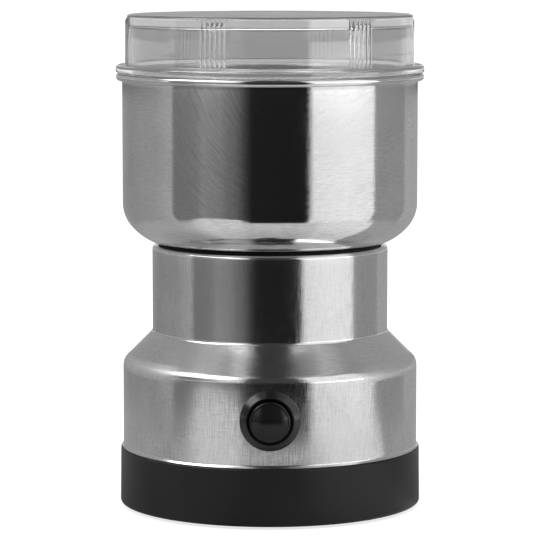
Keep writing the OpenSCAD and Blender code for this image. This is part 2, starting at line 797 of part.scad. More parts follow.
module damper_screws() {
    head_h = 2;
    color([0.7, 0.7, 0.72]) around([90, 270], damper_ring_r)
        translate([0, 0, bracket_z - damper_t - head_h])
            screw(m3_r, bracket_t + 2 * damper_t + damper_screw_hold, m3_head_r, head_h);
}

module leg_places() {
    for (s = [0, 180]) rotate([0, 0, s]) translate([stator_w / 2 - leg_w, -leg_half_d, 0]) children();
}

module upper_bracket() {
    color([0.62, 0.62, 0.64]) difference() {
        union() {
            translate([0, 0, bracket_z]) linear_extrude(bracket_t) {
                rounded_box(stator_w, 2 * leg_half_d, 2);
                rounded_box(2 * leg_half_d, 2 * (damper_ring_r + damper_r + 1), 5);
                circle(boss_r + 4);
            }
            leg_places() translate([0, 0, stack_top]) cube([leg_w, 2 * leg_half_d, upper_leg + 1]);
            translate([0, 0, upper_boss_z]) cylinder(r = boss_r, h = upper_boss_top - upper_boss_z);
        }
        translate([0, 0, upper_boss_z - eps]) cylinder(r = shaft_r + 1, h = 40);
        translate([0, 0, upper_boss_z - eps])
            cylinder(r = bush_r + touch, h = upper_boss_top - upper_boss_z - bearing_lip + eps);
        around([90, 270], damper_ring_r)
            translate([0, 0, bracket_z - eps])
                cylinder(r = damper_waist_r + touch, h = bracket_t + 2 * eps, $fn = fine);
        around([0, 180], bolt_x)
            translate([0, 0, stack_top - eps])
                cylinder(r = m3_r + touch, h = bolt_thread_l + 3 * eps, $fn = fine);
    }
}

module upper_bearing() {
    color([0.72, 0.52, 0.3]) ring(bush_r, shaft_r + run_fit, upper_boss_z,
                                     upper_boss_top - upper_boss_z - bearing_lip - seat);
}

module stator_core() {
    window_w = stator_w - 2 * end_iron;
    window_d = stator_d - 2 * back_iron;
    shoe_r = stator_bore_r + shoe_t;
    wedge = 2 * shoe_r;
    color([0.45, 0.46, 0.5]) translate([0, 0, stack_z]) linear_extrude(stack_h) difference() {
        union() {
            difference() {
                rounded_box(stator_w, stator_d, stator_corner);
                rounded_box(window_w, window_d, 2);
            }
            difference() {
                translate([-stator_w / 2 + 1, -pole_half_w]) square([stator_w - 2, 2 * pole_half_w]);
                circle(shoe_r - 1);
            }
            intersection() {
                circle(shoe_r);
                for (s = [-1, 1]) polygon([[0, 0],
                    [s * wedge * cos(shoe_half_angle), -wedge * sin(shoe_half_angle)], [s * wedge * 2, 0],
                    [s * wedge * cos(shoe_half_angle), wedge * sin(shoe_half_angle)]]);
            }
        }
        circle(stator_bore_r);
        for (s = [-1, 1]) translate([s * bolt_x, 0]) circle(bolt_hole_r, $fn = fine);
    }
}

module field_coils() {
    coil_x = stator_w / 2 - end_iron - coil_clear - coil_t;
    half_in = pole_half_w + coil_clear;
    half_out = stator_d / 2 - back_iron - 1.5;
    color([0.72, 0.38, 0.16]) for (s = [0, 180]) rotate([0, 0, s])
        translate([coil_x, 0, stack_z + stack_h / 2]) rotate([90, 0, 90]) linear_extrude(coil_t) difference() {
            rounded_box(2 * half_out, stack_h + 2 * end_turn, coil_corner);
            rounded_box(2 * half_in, stack_h + 2 * coil_clear, 1);
        }
}

module through_bolts() {
    head_h = 2;
    color([0.7, 0.7, 0.72]) around([0, 180], bolt_x)
        translate([0, 0, lower_plate_z - head_h])
            screw(m3_r, stack_top - lower_plate_z + bolt_thread_l, bolt_head_r, head_h);
}

module lower_bracket() {
    color([0.3, 0.26, 0.22]) difference() {
        union() {
            translate([0, 0, lower_plate_z]) linear_extrude(bracket_t) {
                rounded_box(stator_w, 2 * leg_half_d, 2);
                rounded_box(2 * arm_half_w, 2 * (tube_end + 1), 2);
                circle(lower_boss_r + 4);
            }
            leg_places() translate([0, 0, lower_plate_z + 1])
                cube([leg_w, 2 * leg_half_d, stack_z - lower_plate_z - 1]);
            translate([0, 0, lower_boss_z]) cylinder(r = lower_boss_r, h = lower_boss_top - lower_boss_z);
            for (s = [0, 180]) rotate([0, 0, s])
                translate([-arm_half_w + 1, tube_start + 1, lower_plate_z + 1])
                    cube([2 * arm_half_w - 2, tube_l - 2, tube_floor() - lower_plate_z - 1]);
        }
        translate([0, 0, lower_boss_z + 1]) cylinder(r = lower_bush_r + touch, h = 40, $fn = fine);
        around([0, 180], bolt_x)
            translate([0, 0, lower_plate_z - eps]) cylinder(r = bolt_hole_r, h = 60, $fn = fine);
    }
}

module lower_bearing() {
    color([0.72, 0.52, 0.3])
        ring(lower_bush_r, thread_r + run_fit, lower_boss_z + 1, lower_boss_top - lower_boss_z - 1);
}

// ---------------------------------------------------------------- brushes

function tube_floor() = brush_z - brush_h / 2 - 2 * touch - tube_t;

module brush_pair() {
    for (s = [0, 180]) rotate([0, 0, s]) translate([0, 0, brush_z]) children();
}

module brush_holders() {
    inner_w = brush_w + 4 * touch;
    inner_h = brush_h + 4 * touch;
    color([0.8, 0.62, 0.25]) brush_pair() difference() {
        translate([-inner_w / 2 - tube_t, tube_start, -inner_h / 2 - tube_t])
            cube([inner_w + 2 * tube_t, tube_l, inner_h + 2 * tube_t]);
        translate([-inner_w / 2, tube_start - eps, -inner_h / 2]) cube([inner_w, tube_l + 2 * eps, inner_h]);
    }
}

module carbon_brushes() {
    color([0.15, 0.15, 0.16]) brush_pair() difference() {
        translate([-brush_w / 2, brush_start - 1, -brush_h / 2]) cube([brush_w, brush_l + 1, brush_h]);
        translate([0, 0, -brush_h]) cylinder(r = brush_start, h = 2 * brush_h);
    }
}

module brush_springs() {
    start = brush_start + brush_l + touch;
    color([0.8, 0.8, 0.82]) brush_pair() translate([0, start, 0]) rotate([-90, 0, 0])
        spring_wire(1.9, 0.25, tube_end - 1 - start - touch, 4);
}

module brush_caps() {
    color([0.8, 0.62, 0.25]) brush_pair() union() {
        translate([-brush_w / 2, tube_end - 1, -brush_h / 2]) cube([brush_w, 1.2, brush_h]);
        translate([-brush_w / 2 - 0.6, tube_end + touch, -brush_h / 2 - 0.6])
            cube([brush_w + 1.2, 0.8, brush_h + 1.2]);
    }
}

// ---------------------------------------------------------------- spindle

module motor_shaft() {
    color([0.78, 0.78, 0.8]) rotate_extrude()
        rounded([[0, shaft_z, 0], [thread_r, shaft_z, 0.5], [thread_r, journal_top, 0],
                 [shaft_r, journal_top, 0], [shaft_r, blade_z, 0], [thread_r, blade_z, 0],
                 [thread_r, shaft_top, 0.6], [0, shaft_top, 0]]);
}

slot_r = 1.9;
slot_ring_r = rotor_r - 4.6;

module rotor_core() {
    color([0.45, 0.46, 0.5]) translate([0, 0, stack_z]) linear_extrude(stack_h) difference() {
        circle(rotor_r);
        circle(shaft_r + touch);
        for (a = [0 : 360 / rotor_slots : 359]) rotate(a) {
            translate([slot_ring_r, 0]) circle(slot_r, $fn = fine);
            translate([slot_ring_r, -0.7]) square([rotor_r, 1.4]);
        }
    }
}

module rotor_windings() {
    color([0.75, 0.4, 0.17]) {
        for (a = [0 : 360 / rotor_slots : 359]) rotate([0, 0, a])
            translate([slot_ring_r, 0, stack_z - 1])
                cylinder(r = slot_r - 2 * touch, h = stack_h + 2, $fn = 24);
        for (z = [stack_z - winding_h, stack_top + 2 * touch])
            rotate_extrude() rounded([[shaft_r + touch, z, 0], [rotor_r - 1.6, z, 2.4],
                                      [rotor_r - 1.6, z + winding_h - 2 * touch, 1],
                                      [shaft_r + touch, z + winding_h - 2 * touch, 0]]);
    }
}

module commutator() {
    hub_r = commutator_r - commutator_wall;
    color([0.8, 0.45, 0.22]) difference() {
        rotate_extrude() rounded([[hub_r, commutator_z, 0], [commutator_r, commutator_z, 0.3],
                                  [commutator_r, riser_top - riser_h, 0],
                                  [commutator_r + 1.1, riser_top - riser_h, 0],
                                  [commutator_r + 1.1, riser_top, 0], [hub_r, riser_top, 0]]);
        for (a = [0 : 360 / commutator_bars : 359]) rotate([0, 0, a])
            translate([commutator_r - 1, -0.2, commutator_z - eps])
                cube([4, 0.4, commutator_h + riser_h + 2 * eps]);
    }
}

module commutator_hub() {
    color([0.35, 0.2, 0.12])
        ring(commutator_r - commutator_wall - touch, shaft_r + touch, hub_z, riser_top - hub_z);
}

// One fan blade, an arc that leans back from the hub to the rim
module fan_vane() {
    vane_r = fan_r * 0.6;
    intersection() {
        translate([fan_r * 0.5, -vane_r * 0.72]) difference() {
            circle(vane_r + 0.6);
            circle(vane_r - 0.6);
            translate([-3 * vane_r, -3 * vane_r]) square([6 * vane_r, 3 * vane_r]);
        }
        difference() {
            circle(fan_r - 0.4);
            circle(shaft_r + 3);
        }
    }
}

module cooling_fan() {
    color([0.85, 0.84, 0.8]) translate([0, 0, fan_z]) difference() {
        union() {
            cylinder(r = fan_r, h = 1.2);
            cylinder(r = shaft_r + 4, h = fan_h);
            linear_extrude(fan_h - 0.6)
                for (i = [0 : fan_blades - 1]) rotate(i * 360 / fan_blades) fan_vane();
        }
        translate([0, 0, -eps]) cylinder(r = shaft_r + touch, h = fan_h + 2 * eps);
    }
}

module thrust_washers() {
    color([0.9, 0.88, 0.8]) {
        ring(shaft_r + 2.5, shaft_r + touch, fan_z + fan_h, upper_boss_z - fan_z - fan_h - seat);
        ring(thread_r + 2.5, thread_r + touch, lower_boss_top + seat, thrust_t);
    }
}

module blade_spacer() {
    color([0.1, 0.1, 0.1]) rotate_extrude()
        rounded([[shaft_r + touch, spacer_z, 0], [shaft_r + spacer_foot, spacer_z, 0.5],
                 [shaft_r + spacer_foot - 0.4, spacer_z + spacer_h * 0.3, 2],
                 [shaft_r + spacer_neck, blade_z, 0],
                 [shaft_r + touch, blade_z, 0]]);
}

// Blade: a lofted plate whose wings taper, pitch and bend away from a flat hub
function ease(t) = let (c = min(1, max(0, t))) c * c * (3 - 2 * c);
function wing(s) = ease((abs(s) - blade_hub_r - 0.5) / (blade_l / 2 - blade_hub_r));
function wing_half_w(s) =
    let (tip = blade_l / 2, run = abs(s), round_l = blade_w * 0.6,
         arm = blade_w / 2 * (1 - 0.15 * wing(s)),
         nose = run > tip - round_l ? sqrt(max(0.0015, 1 - pow((run - tip + round_l) / round_l, 2))) : 1,
         hub = run < blade_hub_r ? sqrt(pow(blade_hub_r, 2) - run * run) : 0)
    max(arm * nose, hub);
function wing_rise(s) = s > 0 ? blade_lift * wing(s) : -blade_drop * wing(s);
function blade_ring(s) =
    let (w = wing_half_w(s), bevel = min(w * 0.6, 0.2 + 2.2 * wing(s)), h = blade_t / 2,
         a = sign(s) * blade_pitch * ease((abs(s) - blade_hub_r) / 12))
    [for (p = [[-w, 0], [-w + bevel, -h], [w - bevel, -h], [w, 0], [w - bevel, h], [-w + bevel, h]])
        [s, p[0] * cos(a) - p[1] * sin(a), blade_z + h + wing_rise(s) + p[0] * sin(a) + p[1] * cos(a)]];

module blade() {
    half = 20;
    stations = [for (i = [-half : half]) blade_l / 2 * sin(90 * i / half)];
    points = [for (s = stations) for (p = blade_ring(s)) p];
    sides = 6;
    walls = [for (i = [0 : len(stations) - 2]) for (j = [0 : sides - 1])
        let (k = (j + 1) % sides, a = i * sides, b = a + sides) each
        [[a + j, a + k, b + k], [a + j, b + k, b + j]]];
    first = [for (j = [1 : sides - 2]) [0, j + 1, j]];
    last = [for (j = [1 : sides - 2]) let (b = (len(stations) - 1) * sides) [b, b + j, b + j + 1]];
    color([0.8, 0.8, 0.82]) difference() {
        polyhedron(points, concat(walls, first, last), convexity = 4);
        translate([0, 0, blade_z - eps]) cylinder(r = thread_r + touch, h = blade_t + 2 * eps, $fn = fine);
    }
}

module blade_washer() {
    color([0.8, 0.8, 0.82]) ring(thread_r + 3, thread_r + touch, blade_z + blade_t, washer_t);
}

// Domed cap nut
module blade_nut() {
    nut_z = blade_z + blade_t + washer_t;
    nut_r = thread_r + 2.6;
    color([0.8, 0.8, 0.82]) translate([0, 0, nut_z]) difference() {
        union() {
            cylinder(r = nut_r, h = nut_h - 0.4, $fn = 6);
            intersection() {
                translate([0, 0, nut_h - 1.4]) sphere(r = nut_r * 0.82);
                cylinder(r = nut_r, h = 3 * nut_h);
            }
        }
        translate([0, 0, -eps]) cylinder(r = thread_r + touch, h = nut_h - 0.2 + eps, $fn = fine);
    }
}

lid();
bowl();
bowl_gasket();
body_shell();
base();
rubber_feet();
base_screws();
cord_gland();
switch_housing();
switch_nut();
switch_back();
switch_terminals();
button_cap();
button_clip();
contact_bridge();
button_spring();
shaft_seal();
bowl_screws();
motor_mount();
motor_dampers();
damper_screws();
upper_bracket();
upper_bearing();
stator_core();
field_coils();
through_bolts();
lower_bracket();
lower_bearing();
brush_holders();
carbon_brushes();
brush_springs();
brush_caps();
motor_shaft();
rotor_core();
rotor_windings();
commutator();
commutator_hub();
cooling_fan();
thrust_washers();
blade_spacer();
blade();
blade_washer();
blade_nut();
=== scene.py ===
"""Looks of the electric spice grinder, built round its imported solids.

Lengths in dataclass fields and outlines are millimetres. Meshes are metres, in the frame of
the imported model: Z up, origin at the centre of the footprint, push button facing -Y.
"""

import logging
import math
from collections.abc import Sequence
from dataclasses import dataclass
from enum import Enum
from typing import Any

import bmesh
import bpy
import numpy as np
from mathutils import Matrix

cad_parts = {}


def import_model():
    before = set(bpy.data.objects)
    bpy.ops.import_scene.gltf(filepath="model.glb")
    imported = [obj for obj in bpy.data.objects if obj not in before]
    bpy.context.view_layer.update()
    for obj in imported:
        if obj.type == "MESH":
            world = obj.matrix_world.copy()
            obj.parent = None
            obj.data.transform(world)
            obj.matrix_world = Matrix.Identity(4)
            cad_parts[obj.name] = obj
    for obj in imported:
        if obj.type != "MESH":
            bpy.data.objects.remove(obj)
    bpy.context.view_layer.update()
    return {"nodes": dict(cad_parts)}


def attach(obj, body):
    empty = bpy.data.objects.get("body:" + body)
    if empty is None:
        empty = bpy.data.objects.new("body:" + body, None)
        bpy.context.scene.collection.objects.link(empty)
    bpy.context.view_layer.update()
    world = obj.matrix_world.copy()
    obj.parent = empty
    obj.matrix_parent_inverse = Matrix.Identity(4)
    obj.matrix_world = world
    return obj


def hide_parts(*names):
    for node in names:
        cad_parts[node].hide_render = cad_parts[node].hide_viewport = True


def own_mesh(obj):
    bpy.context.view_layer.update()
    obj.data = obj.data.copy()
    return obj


LOG = logging.getLogger("grinder")
MM = 0.001
# Outer radius of the lid and of the body, and heights of the switch and of the shoulder.
LID_R = 48.35
BODY_R = 49.7
SWITCH_Z = 35.8
SHOULDER_Z = 49.3
# Faces round the bowl and the body shell.
AROUND = 256
Colour = tuple[float, float, float]
# (place, tone) pairs in rising order.
Tones = Sequence[tuple[float, float]]


# ------------------------------------------------------------------ shader maths


class Wire:
    """One output of a node. Arithmetic on it adds Math nodes to its graph."""

    def __init__(self, graph: "Graph", socket: bpy.types.NodeSocket) -> None:
        """Keeps the graph and the socket that the wire starts from."""
        self.graph = graph
        self.socket = socket

    def math(self, operation: str, *others: "Wire | float") -> "Wire":
        """Feeds this wire, then the others, to one Math node.

        Args:
            operation: the Math node's operation.
            others: wires or numbers for its other inputs.

        Returns:
            The node's output.
        """
        return self.graph.add("ShaderNodeMath", {"operation": operation}, [self, *others])

    def __add__(self, other: "Wire | float") -> "Wire":
        """Sum."""
        return self.math("ADD", other)

    __radd__ = __add__

    def __mul__(self, other: "Wire | float") -> "Wire":
        """Product."""
        return self.math("MULTIPLY", other)

    __rmul__ = __mul__

    def __sub__(self, other: "Wire | float") -> "Wire":
        """Difference."""
        return self.math("SUBTRACT", other)

    def __rsub__(self, other: float) -> "Wire":
        """Difference from a number."""
        return self * -1.0 + other

    def __neg__(self) -> "Wire":
        """The same with the other sign."""
        return self * -1.0

    def __truediv__(self, other: "Wire | float") -> "Wire":
        """Quotient."""
        return self.math("DIVIDE", other)

    def __abs__(self) -> "Wire":
        """Size without sign."""
        return self.math("ABSOLUTE")

    def between(self, low: float, high: float) -> "Wire":
        """Smooth step that is 0 at low and 1 at high, either way round."""
        inputs = {"Value": self, "From Min": low, "From Max": high}
        return self.graph.add("ShaderNodeMapRange", {"interpolation_type": "SMOOTHSTEP"}, inputs)

    def within(self, rise: tuple[float, float], fall: tuple[float, float]) -> "Wire":
        """Smooth step up over rise, times one down over fall."""
        return self.between(*rise) * self.between(fall[1], fall[0])


class Graph:
    """Node tree of a material or the world, grown one node at a time."""

    def __init__(self, tree: bpy.types.NodeTree) -> None:
        """Empties the tree and keeps it."""
        self.tree = tree
        tree.nodes.clear()

    def add(
        self,
        kind: str,
        settings: dict[str, Any] | None = None,
        inputs: dict[str, Any] | Sequence[Any] = (),
        output: int | str = 0,
    ) -> Wire:
        """Adds any node.

        Args:
            kind: the node's type.
            settings: its settings, set first. "stops" holds a ramp's (place, grey) pairs.
            inputs: wires or values, by socket name or in order.
            output: the output to hand back.

        Returns:
            That output.
        """
        node = self.tree.nodes.new(kind)
        for key, value in (settings or {}).items():
            if key == "stops":
                self._fill_ramp(node.color_ramp, value)
            else:
                setattr(node, key, value)
        pairs = inputs.items() if isinstance(inputs, dict) else enumerate(inputs)
        for key, value in pairs:
            if isinstance(value, Wire):
                self.tree.links.new(value.socket, node.inputs[key])
            else:
                node.inputs[key].default_value = value
        return Wire(self, node.outputs[output] if node.outputs else None)

    @staticmethod
    def _fill_ramp(ramp: bpy.types.ColorRamp, stops: Tones) -> None:
        """Sets a ramp's stops.

        Args:
            ramp: the ramp of a new node, with its first two stops.
            stops: its (place, grey) pairs.
        """
        while len(ramp.elements) < len(stops):
            ramp.elements.new(0.5)
        for element, (place, grey) in zip(ramp.elements, stops):
            element.position = place
            element.color = (grey, grey, grey, 1.0)

    def coordinates(self, name: str = "Object") -> Wire:
        """One of the Texture Coordinate node's outputs."""
        return self.add("ShaderNodeTexCoord", output=name)

    def axis(self, vector: Wire, index: int) -> Wire:
        """X, Y or Z of a vector, by its index."""
        return self.add("ShaderNodeSeparateXYZ", {}, [vector], index)

    def light_path(self, output: str) -> Wire:
        """One of the Light Path node's outputs."""
        return self.add("ShaderNodeLightPath", output=output)

    def scaled(
        self, vector: Wire, scale: Sequence[float], turn: Sequence[float] = (0, 0, 0)
    ) -> Wire:
        """Coordinates turned, then multiplied axis by axis."""
        inputs = {"Vector": vector, "Scale": tuple(scale), "Rotation": tuple(turn)}
        return self.add("ShaderNodeMapping", {}, inputs)

    def noise(
        self, vector: Wire, scale: float, detail: float = 2.0, rough: float = 0.5, output: int = 0
    ) -> Wire:
        """Noise from 0 to 1 about 0.5. Output 1 has three independent ones, as a colour."""
        inputs = {"Vector": vector, "Scale": scale, "Detail": detail, "Roughness": rough}
        return self.add("ShaderNodeTexNoise", {}, inputs, output)

    def vector(self, operation: str, *inputs: Any, output: int | str = 0) -> Wire:
        """One Vector Math node."""
        return self.add("ShaderNodeVectorMath", {"operation": operation}, inputs, output)

    def tilted(self, normal: Wire, chance: Wire, amount: float) -> Wire:
        """Leans a normal at random, an eighth as much upwards as sideways.

        Args:
            normal: the normal.
            chance: a colour whose channels lie about 0.5.
            amount: how far a channel of 1 leans it more than one of 0.

        Returns:
            The unit vector of normal + amount * (chance - 0.5).
        """
        scale = (amount, amount, amount / 8)
        sway = self.vector("MULTIPLY_ADD", chance, scale, tuple(-x / 2 for x in scale))
        return self.vector("NORMALIZE", self.vector("ADD", normal, sway))

    def ramp(self, value: Wire, stops: Tones) -> Wire:
        """Grey ramp with straight runs between its stops."""
        return self.add("ShaderNodeValToRGB", {"stops": stops}, [value])

    def blend(self, share: Wire, first: Colour | Wire, second: Colour) -> Wire:
        """Mixes two colours.

        Args:
            share: 0 for the first, 1 for the second.
            first: a colour, or a wire that carries one.
            second: a colour.

        Returns:
            The mixed colour.
        """
        start = first if isinstance(first, Wire) else (*first, 1.0)
        inputs = {0: share, 6: start, 7: (*second, 1.0)}
        return self.add("ShaderNodeMix", {"data_type": "RGBA"}, inputs, 2)

    def bump(self, height: Wire, strength: float, distance: float) -> Wire:
        """Normal bent by a height. Distance is in metres."""
        inputs = {"Height": height, "Strength": strength, "Distance": distance}
        return self.add("ShaderNodeBump", {}, inputs)


# ------------------------------------------------------------------ finishes


@dataclass(frozen=True)
class Finish:
    """A material. Subclasses say what changes over the surface."""

    name: str
    tone: Colour
    roughness: float = 0.4
    metallic: float = 0.0

    def shaded(self, factor: float, lift: float = 0.0) -> Colour:
        """The tone times a factor, plus a lift."""
        return tuple(factor * c + lift for c in self.tone)

    def varied(self, graph: Graph) -> dict[str, Any]:
        """Principled inputs that this finish sets beyond its tone and roughness."""
        return {}

    def material(self) -> bpy.types.Material:
        """Builds the material at the first call.

        Returns:
            The material, the same one at each call.
        """
        known = bpy.data.materials.get(self.name)
        if known:
            return known
        material = bpy.data.materials.new(self.name)
        material.use_nodes = True
        material.diffuse_color = (*self.tone, 1.0)
        graph = Graph(material.node_tree)
        inputs = {
            "Base Color": (*self.tone, 1.0),
            "Roughness": self.roughness,
            "Metallic": self.metallic,
            **self.varied(graph),
        }
        shader = graph.add("ShaderNodeBsdfPrincipled", {}, inputs)
        graph.add("ShaderNodeOutputMaterial", {}, [shader])
        return material


class Grain(Enum):
    """Which way the polishing lines run, as shares of the fine scale along X, Y and Z."""

    UPRIGHT = (1.0, 1.0, 0.05)
    ROUND = (0.08, 0.08, 1.0)
    NONE = (1.0, 1.0, 1.0)

    @property
    def across(self) -> "Grain":
        """The direction square to this one."""
        return {Grain.UPRIGHT: Grain.ROUND, Grain.ROUND: Grain.UPRIGHT}.get(self, self)


@dataclass(frozen=True)
class Buffed:
    """Arcs left by a buffing wheel: circles about a centre that fade out from a middle.

    Attributes:
        centre: X and Z of the arcs' centre.
        middle: X and Z of the middle of the buffed patch, on the front.
        reach: half the patch's width.
        tall: the patch's height over its width.
        depth: how much the arcs add to the surface's height.
        dulling: how much they add to its roughness.
        shade: how much they darken its tone, from 0 to 1.
    """

    centre: tuple[float, float]
    middle: tuple[float, float]
    reach: float
    tall: float
    depth: float
    dulling: float
    shade: float

    def mask(self, graph: Graph, place: Wire) -> Wire:
        """Where the patch lies.

        Args:
            graph: the material's tree.
            place: object coordinates.

        Returns:
            1 round the middle of the front, smoothly 0 on an ellipse reach wide and tall as high.
        """
        near = self.distance(graph, place, self.middle, 1 / self.tall)
        near = near.between(self.reach * MM, 0.35 * self.reach * MM)
        return near * graph.axis(place, 1).between(0.0, -0.02)

    def arcs(self, graph: Graph, place: Wire) -> Wire:
        """Fine arcs, as noise over the distance from the centre.

        Args:
            graph: the material's tree.
            place: object coordinates.

        Returns:
            Noise from 0 to 1 that wanders a little along each arc.
        """
        apart = self.distance(graph, place, self.centre)
        wander = graph.noise(place, 70.0, 2.0) * 0.002
        sweep = graph.axis(place, 0) * 0.035
        lane = graph.add("ShaderNodeCombineXYZ", {}, [apart + wander, sweep, 0.0])
        return graph.noise(lane, 4200.0, 2.0, 0.6)

    def distance(
        self, graph: Graph, place: Wire, about: tuple[float, float], squash: float = 1.0
    ) -> Wire:
        """Distance in the front view.

        Args:
            graph: the material's tree.
            place: object coordinates.
            about: X and Z of the point to measure from, in millimetres.
            squash: factor on heights.

        Returns:
            sqrt(x^2 + (squash * z)^2) from that point, in metres.
        """
        flat = graph.scaled(place, (1.0, 0.0, squash))
        point = (about[0] * MM, 0.0, about[1] * squash * MM)
        return graph.vector("DISTANCE", flat, point, output="Value")


@dataclass(frozen=True)
class Steel(Finish):
    """Drawn steel, polished along its grain, with buffed patches and duller smudges.

    Attributes:
        grain: the direction of the polishing lines.
        lines: the lines' noise scale, per metre.
        bite: strength of the lines as height.
        sway: how far apart the leans of two polishing lines may be. 0 leaves them straight.
        cross_sway: the same for the finer lines square to them.
        scatter: how much the lines add to the roughness.
        dull_edge: height of a bend whose left and right are duller, in millimetres.
        buffed: patches with a buffing wheel's arcs.
    """

    roughness: float = 0.05
    metallic: float = 1.0
    grain: Grain = Grain.ROUND
    lines: float = 3600.0
    bite: float = 0.12
    sway: float = 0.05
    cross_sway: float = 0.02
    scatter: float = 0.08
    dull_edge: float | None = None
    buffed: tuple[Buffed, ...] = ()

    def varied(self, graph: Graph) -> dict[str, Any]:
        """Stretched noise along the grain and across it, buffing arcs, smudges and a dull edge.

        Each polishing line leans its own way by up to half of sway, and each cross line by half
        of cross_sway. The lines come and go with slow noise. The bend at the height dull_edge is
        duller at its left and right, where the polishing wheel doesn't reach into it.

        Args:
            graph: the material's tree.

        Returns:
            Wires for the colour, the roughness and the normal.
        """
        place = graph.coordinates()
        along = graph.scaled(place, self.grain.value)
        across = graph.scaled(place, self.grain.across.value)
        lines = graph.noise(along, self.lines, 2.0, 0.6)
        cross = graph.noise(across, self.lines, 2.0, 0.6)
        patches = graph.noise(place, 34.0, 2.0).between(0.35, 0.65)
        smudge = graph.noise(place, 48.0, 4.0).between(0.45, 0.75)
        height = lines * (patches * 0.7 + 0.3)
        fine = lines.between(0.36, 0.7) + cross.between(0.36, 0.7) * (20 * self.cross_sway)
        rough = self.roughness + smudge * 0.03 + fine * self.scatter
        dulled = smudge * 0.4 + fine * 0.45
        for wheel in self.buffed:
            mask, arcs = wheel.mask(graph, place), wheel.arcs(graph, place)
            height = height + mask * arcs * wheel.depth
            rough = rough + mask * (arcs - 0.2) * wheel.dulling
            dulled = dulled + mask * arcs.between(0.4, 0.62) * wheel.shade
        if self.dull_edge is not None:
            near = abs(graph.axis(place, 2) - self.dull_edge * MM).between(3.2 * MM, 1.6 * MM)
            aside = abs(graph.axis(place, 0)).between(26 * MM, 36 * MM)
            rough = rough + aside * near * 0.3
        normal = graph.bump(height, self.bite, 0.4 * MM)
        if self.sway:
            chance = graph.noise(along, self.lines, 1.0, 0.5, 1)
            normal = graph.tilted(normal, chance, self.sway)
            chance = graph.noise(across, self.lines * 0.9, 1.0, 0.5, 1)
            normal = graph.tilted(normal, chance, self.cross_sway)
        return {
            "Base Color": graph.blend(dulled, self.tone, self.shaded(0.7)),
            "Roughness": rough,
            "Normal": normal,
        }


@dataclass(frozen=True)
class Moulded(Finish):
    """Moulded plastic or resin with a fine skin and a faint bloom."""

    roughness: float = 0.38
    skin: float = 0.12
    pitch: float = 2600.0
    specular: float = 0.3

    def varied(self, graph: Graph) -> dict[str, Any]:
        """Speckled skin as height, and a slow bloom that lifts tone and roughness a little.

        Args:
            graph: the material's tree.

        Returns:
            Wires for the colour, the roughness and the normal, and the specular level.
        """
        place = graph.coordinates()
        skin = graph.noise(place, self.pitch, 2.0)
        bloom = graph.noise(place, 45.0, 4.0).between(0.35, 0.8)
        return {
            "Base Color": graph.blend(bloom, self.tone, self.shaded(1.25, 0.004)),
            "Roughness": self.roughness + bloom * 0.07 + (skin - 0.5) * 0.08,
            "Specular IOR Level": self.specular,
            "Normal": graph.bump(skin, self.skin, 0.06 * MM),
        }


@dataclass(frozen=True)
class Clear(Finish):
    """Clear moulded plastic, faintly smoky, with hair scratches. Its ribs are painted lighter as
    painted highlights, and its foot as a painted reflection of the steel rim.

    Attributes:
        haze: share of the light that scatters.
        index: index of refraction, raised for clearer edges.
        wall_r: the wall's outer radius. What stands farther out is a rib.
        ribs_from: height where the ribs start.
        rib_highlight_tone: factor on the tone of the ribs, a painted highlight.
        roof_from: height of the roof's underside.
        roof_tone: factor on the tone above it.
        foot_to: height where the foot's painted reflection ends.
        foot_reflection_tone: factor on the tone of the foot, a painted reflection of the steel
            rim.
    """

    roughness: float = 0.03
    haze: float = 0.1
    index: float = 1.65
    wall_r: float = LID_R
    ribs_from: float = 149.1
    rib_highlight_tone: float = 1.65
    roof_from: float = 162.2
    roof_tone: float = 0.97
    foot_to: float = 149.4
    foot_reflection_tone: float = 1.75

    def varied(self, graph: Graph) -> dict[str, Any]:
        """Hair scratches raise the roughness. The roof has its own tone, the ribs are painted
        lighter as painted highlights and the foot as a painted reflection of the steel rim.

        Args:
            graph: the material's tree.

        Returns:
            Wires for the colour, the roughness and the normal, and the clear plastic's values.
        """
        place = graph.coordinates()
        fine = graph.noise(graph.scaled(place, (1.0, 1.0, 0.06), (0.5, 0.3, 0.0)), 900.0, 2.0)
        wave = graph.noise(place, 30.0, 2.0)
        flat = graph.scaled(place, (1.0, 1.0, 0.0))
        radius = graph.vector("LENGTH", flat, output="Value")
        up = graph.axis(place, 2)
        # Painted highlights: the ribs get a lighter tone.
        rib_highlight = radius.between((self.wall_r + 0.02) * MM, (self.wall_r + 0.14) * MM)
        rib_highlight = rib_highlight * up.between((self.ribs_from - 0.1) * MM, self.ribs_from * MM)
        roof = up.between((self.roof_from - 0.2) * MM, (self.roof_from + 0.2) * MM)
        # Painted reflection: the foot gets a lighter tone where the steel rim shows through it.
        foot = up.between((self.foot_to + 0.3) * MM, (self.foot_to - 0.3) * MM)
        tone: Colour | Wire = self.tone
        shares = ((roof, self.roof_tone), (foot, self.foot_reflection_tone), (rib_highlight, self.rib_highlight_tone))
        for share, factor in shares:
            tone = graph.blend(share, tone, self.shaded(factor))
        return {
            "Base Color": tone,
            "Transmission Weight": 1.0 - self.haze,
            "IOR": self.index,
            "Roughness": self.roughness + fine.between(0.62, 0.75) * 0.08,
            "Normal": graph.bump(wave, 0.06, 2 * MM),
        }


@dataclass(frozen=True)
class Ground(Finish):
    """Bare metal that is not mirror bright: plated, cast, ground or sintered."""

    roughness: float = 0.3
    metallic: float = 1.0
    grains: float = 900.0
    bite: float = 0.15

    def varied(self, graph: Graph) -> dict[str, Any]:
        """Even grains as height and roughness, with a slow change of tone.

        Args:
            graph: the material's tree.

        Returns:
            Wires for the colour, the roughness and the normal.
        """
        place = graph.coordinates()
        grains = graph.noise(place, self.grains, 3.0)
        slow = graph.noise(place, 60.0, 3.0).between(0.3, 0.75)
        return {
            "Base Color": graph.blend(slow, self.tone, self.shaded(0.8)),
            "Roughness": self.roughness + (grains - 0.5) * 0.2,
            "Normal": graph.bump(grains, self.bite, 0.08 * MM),
        }


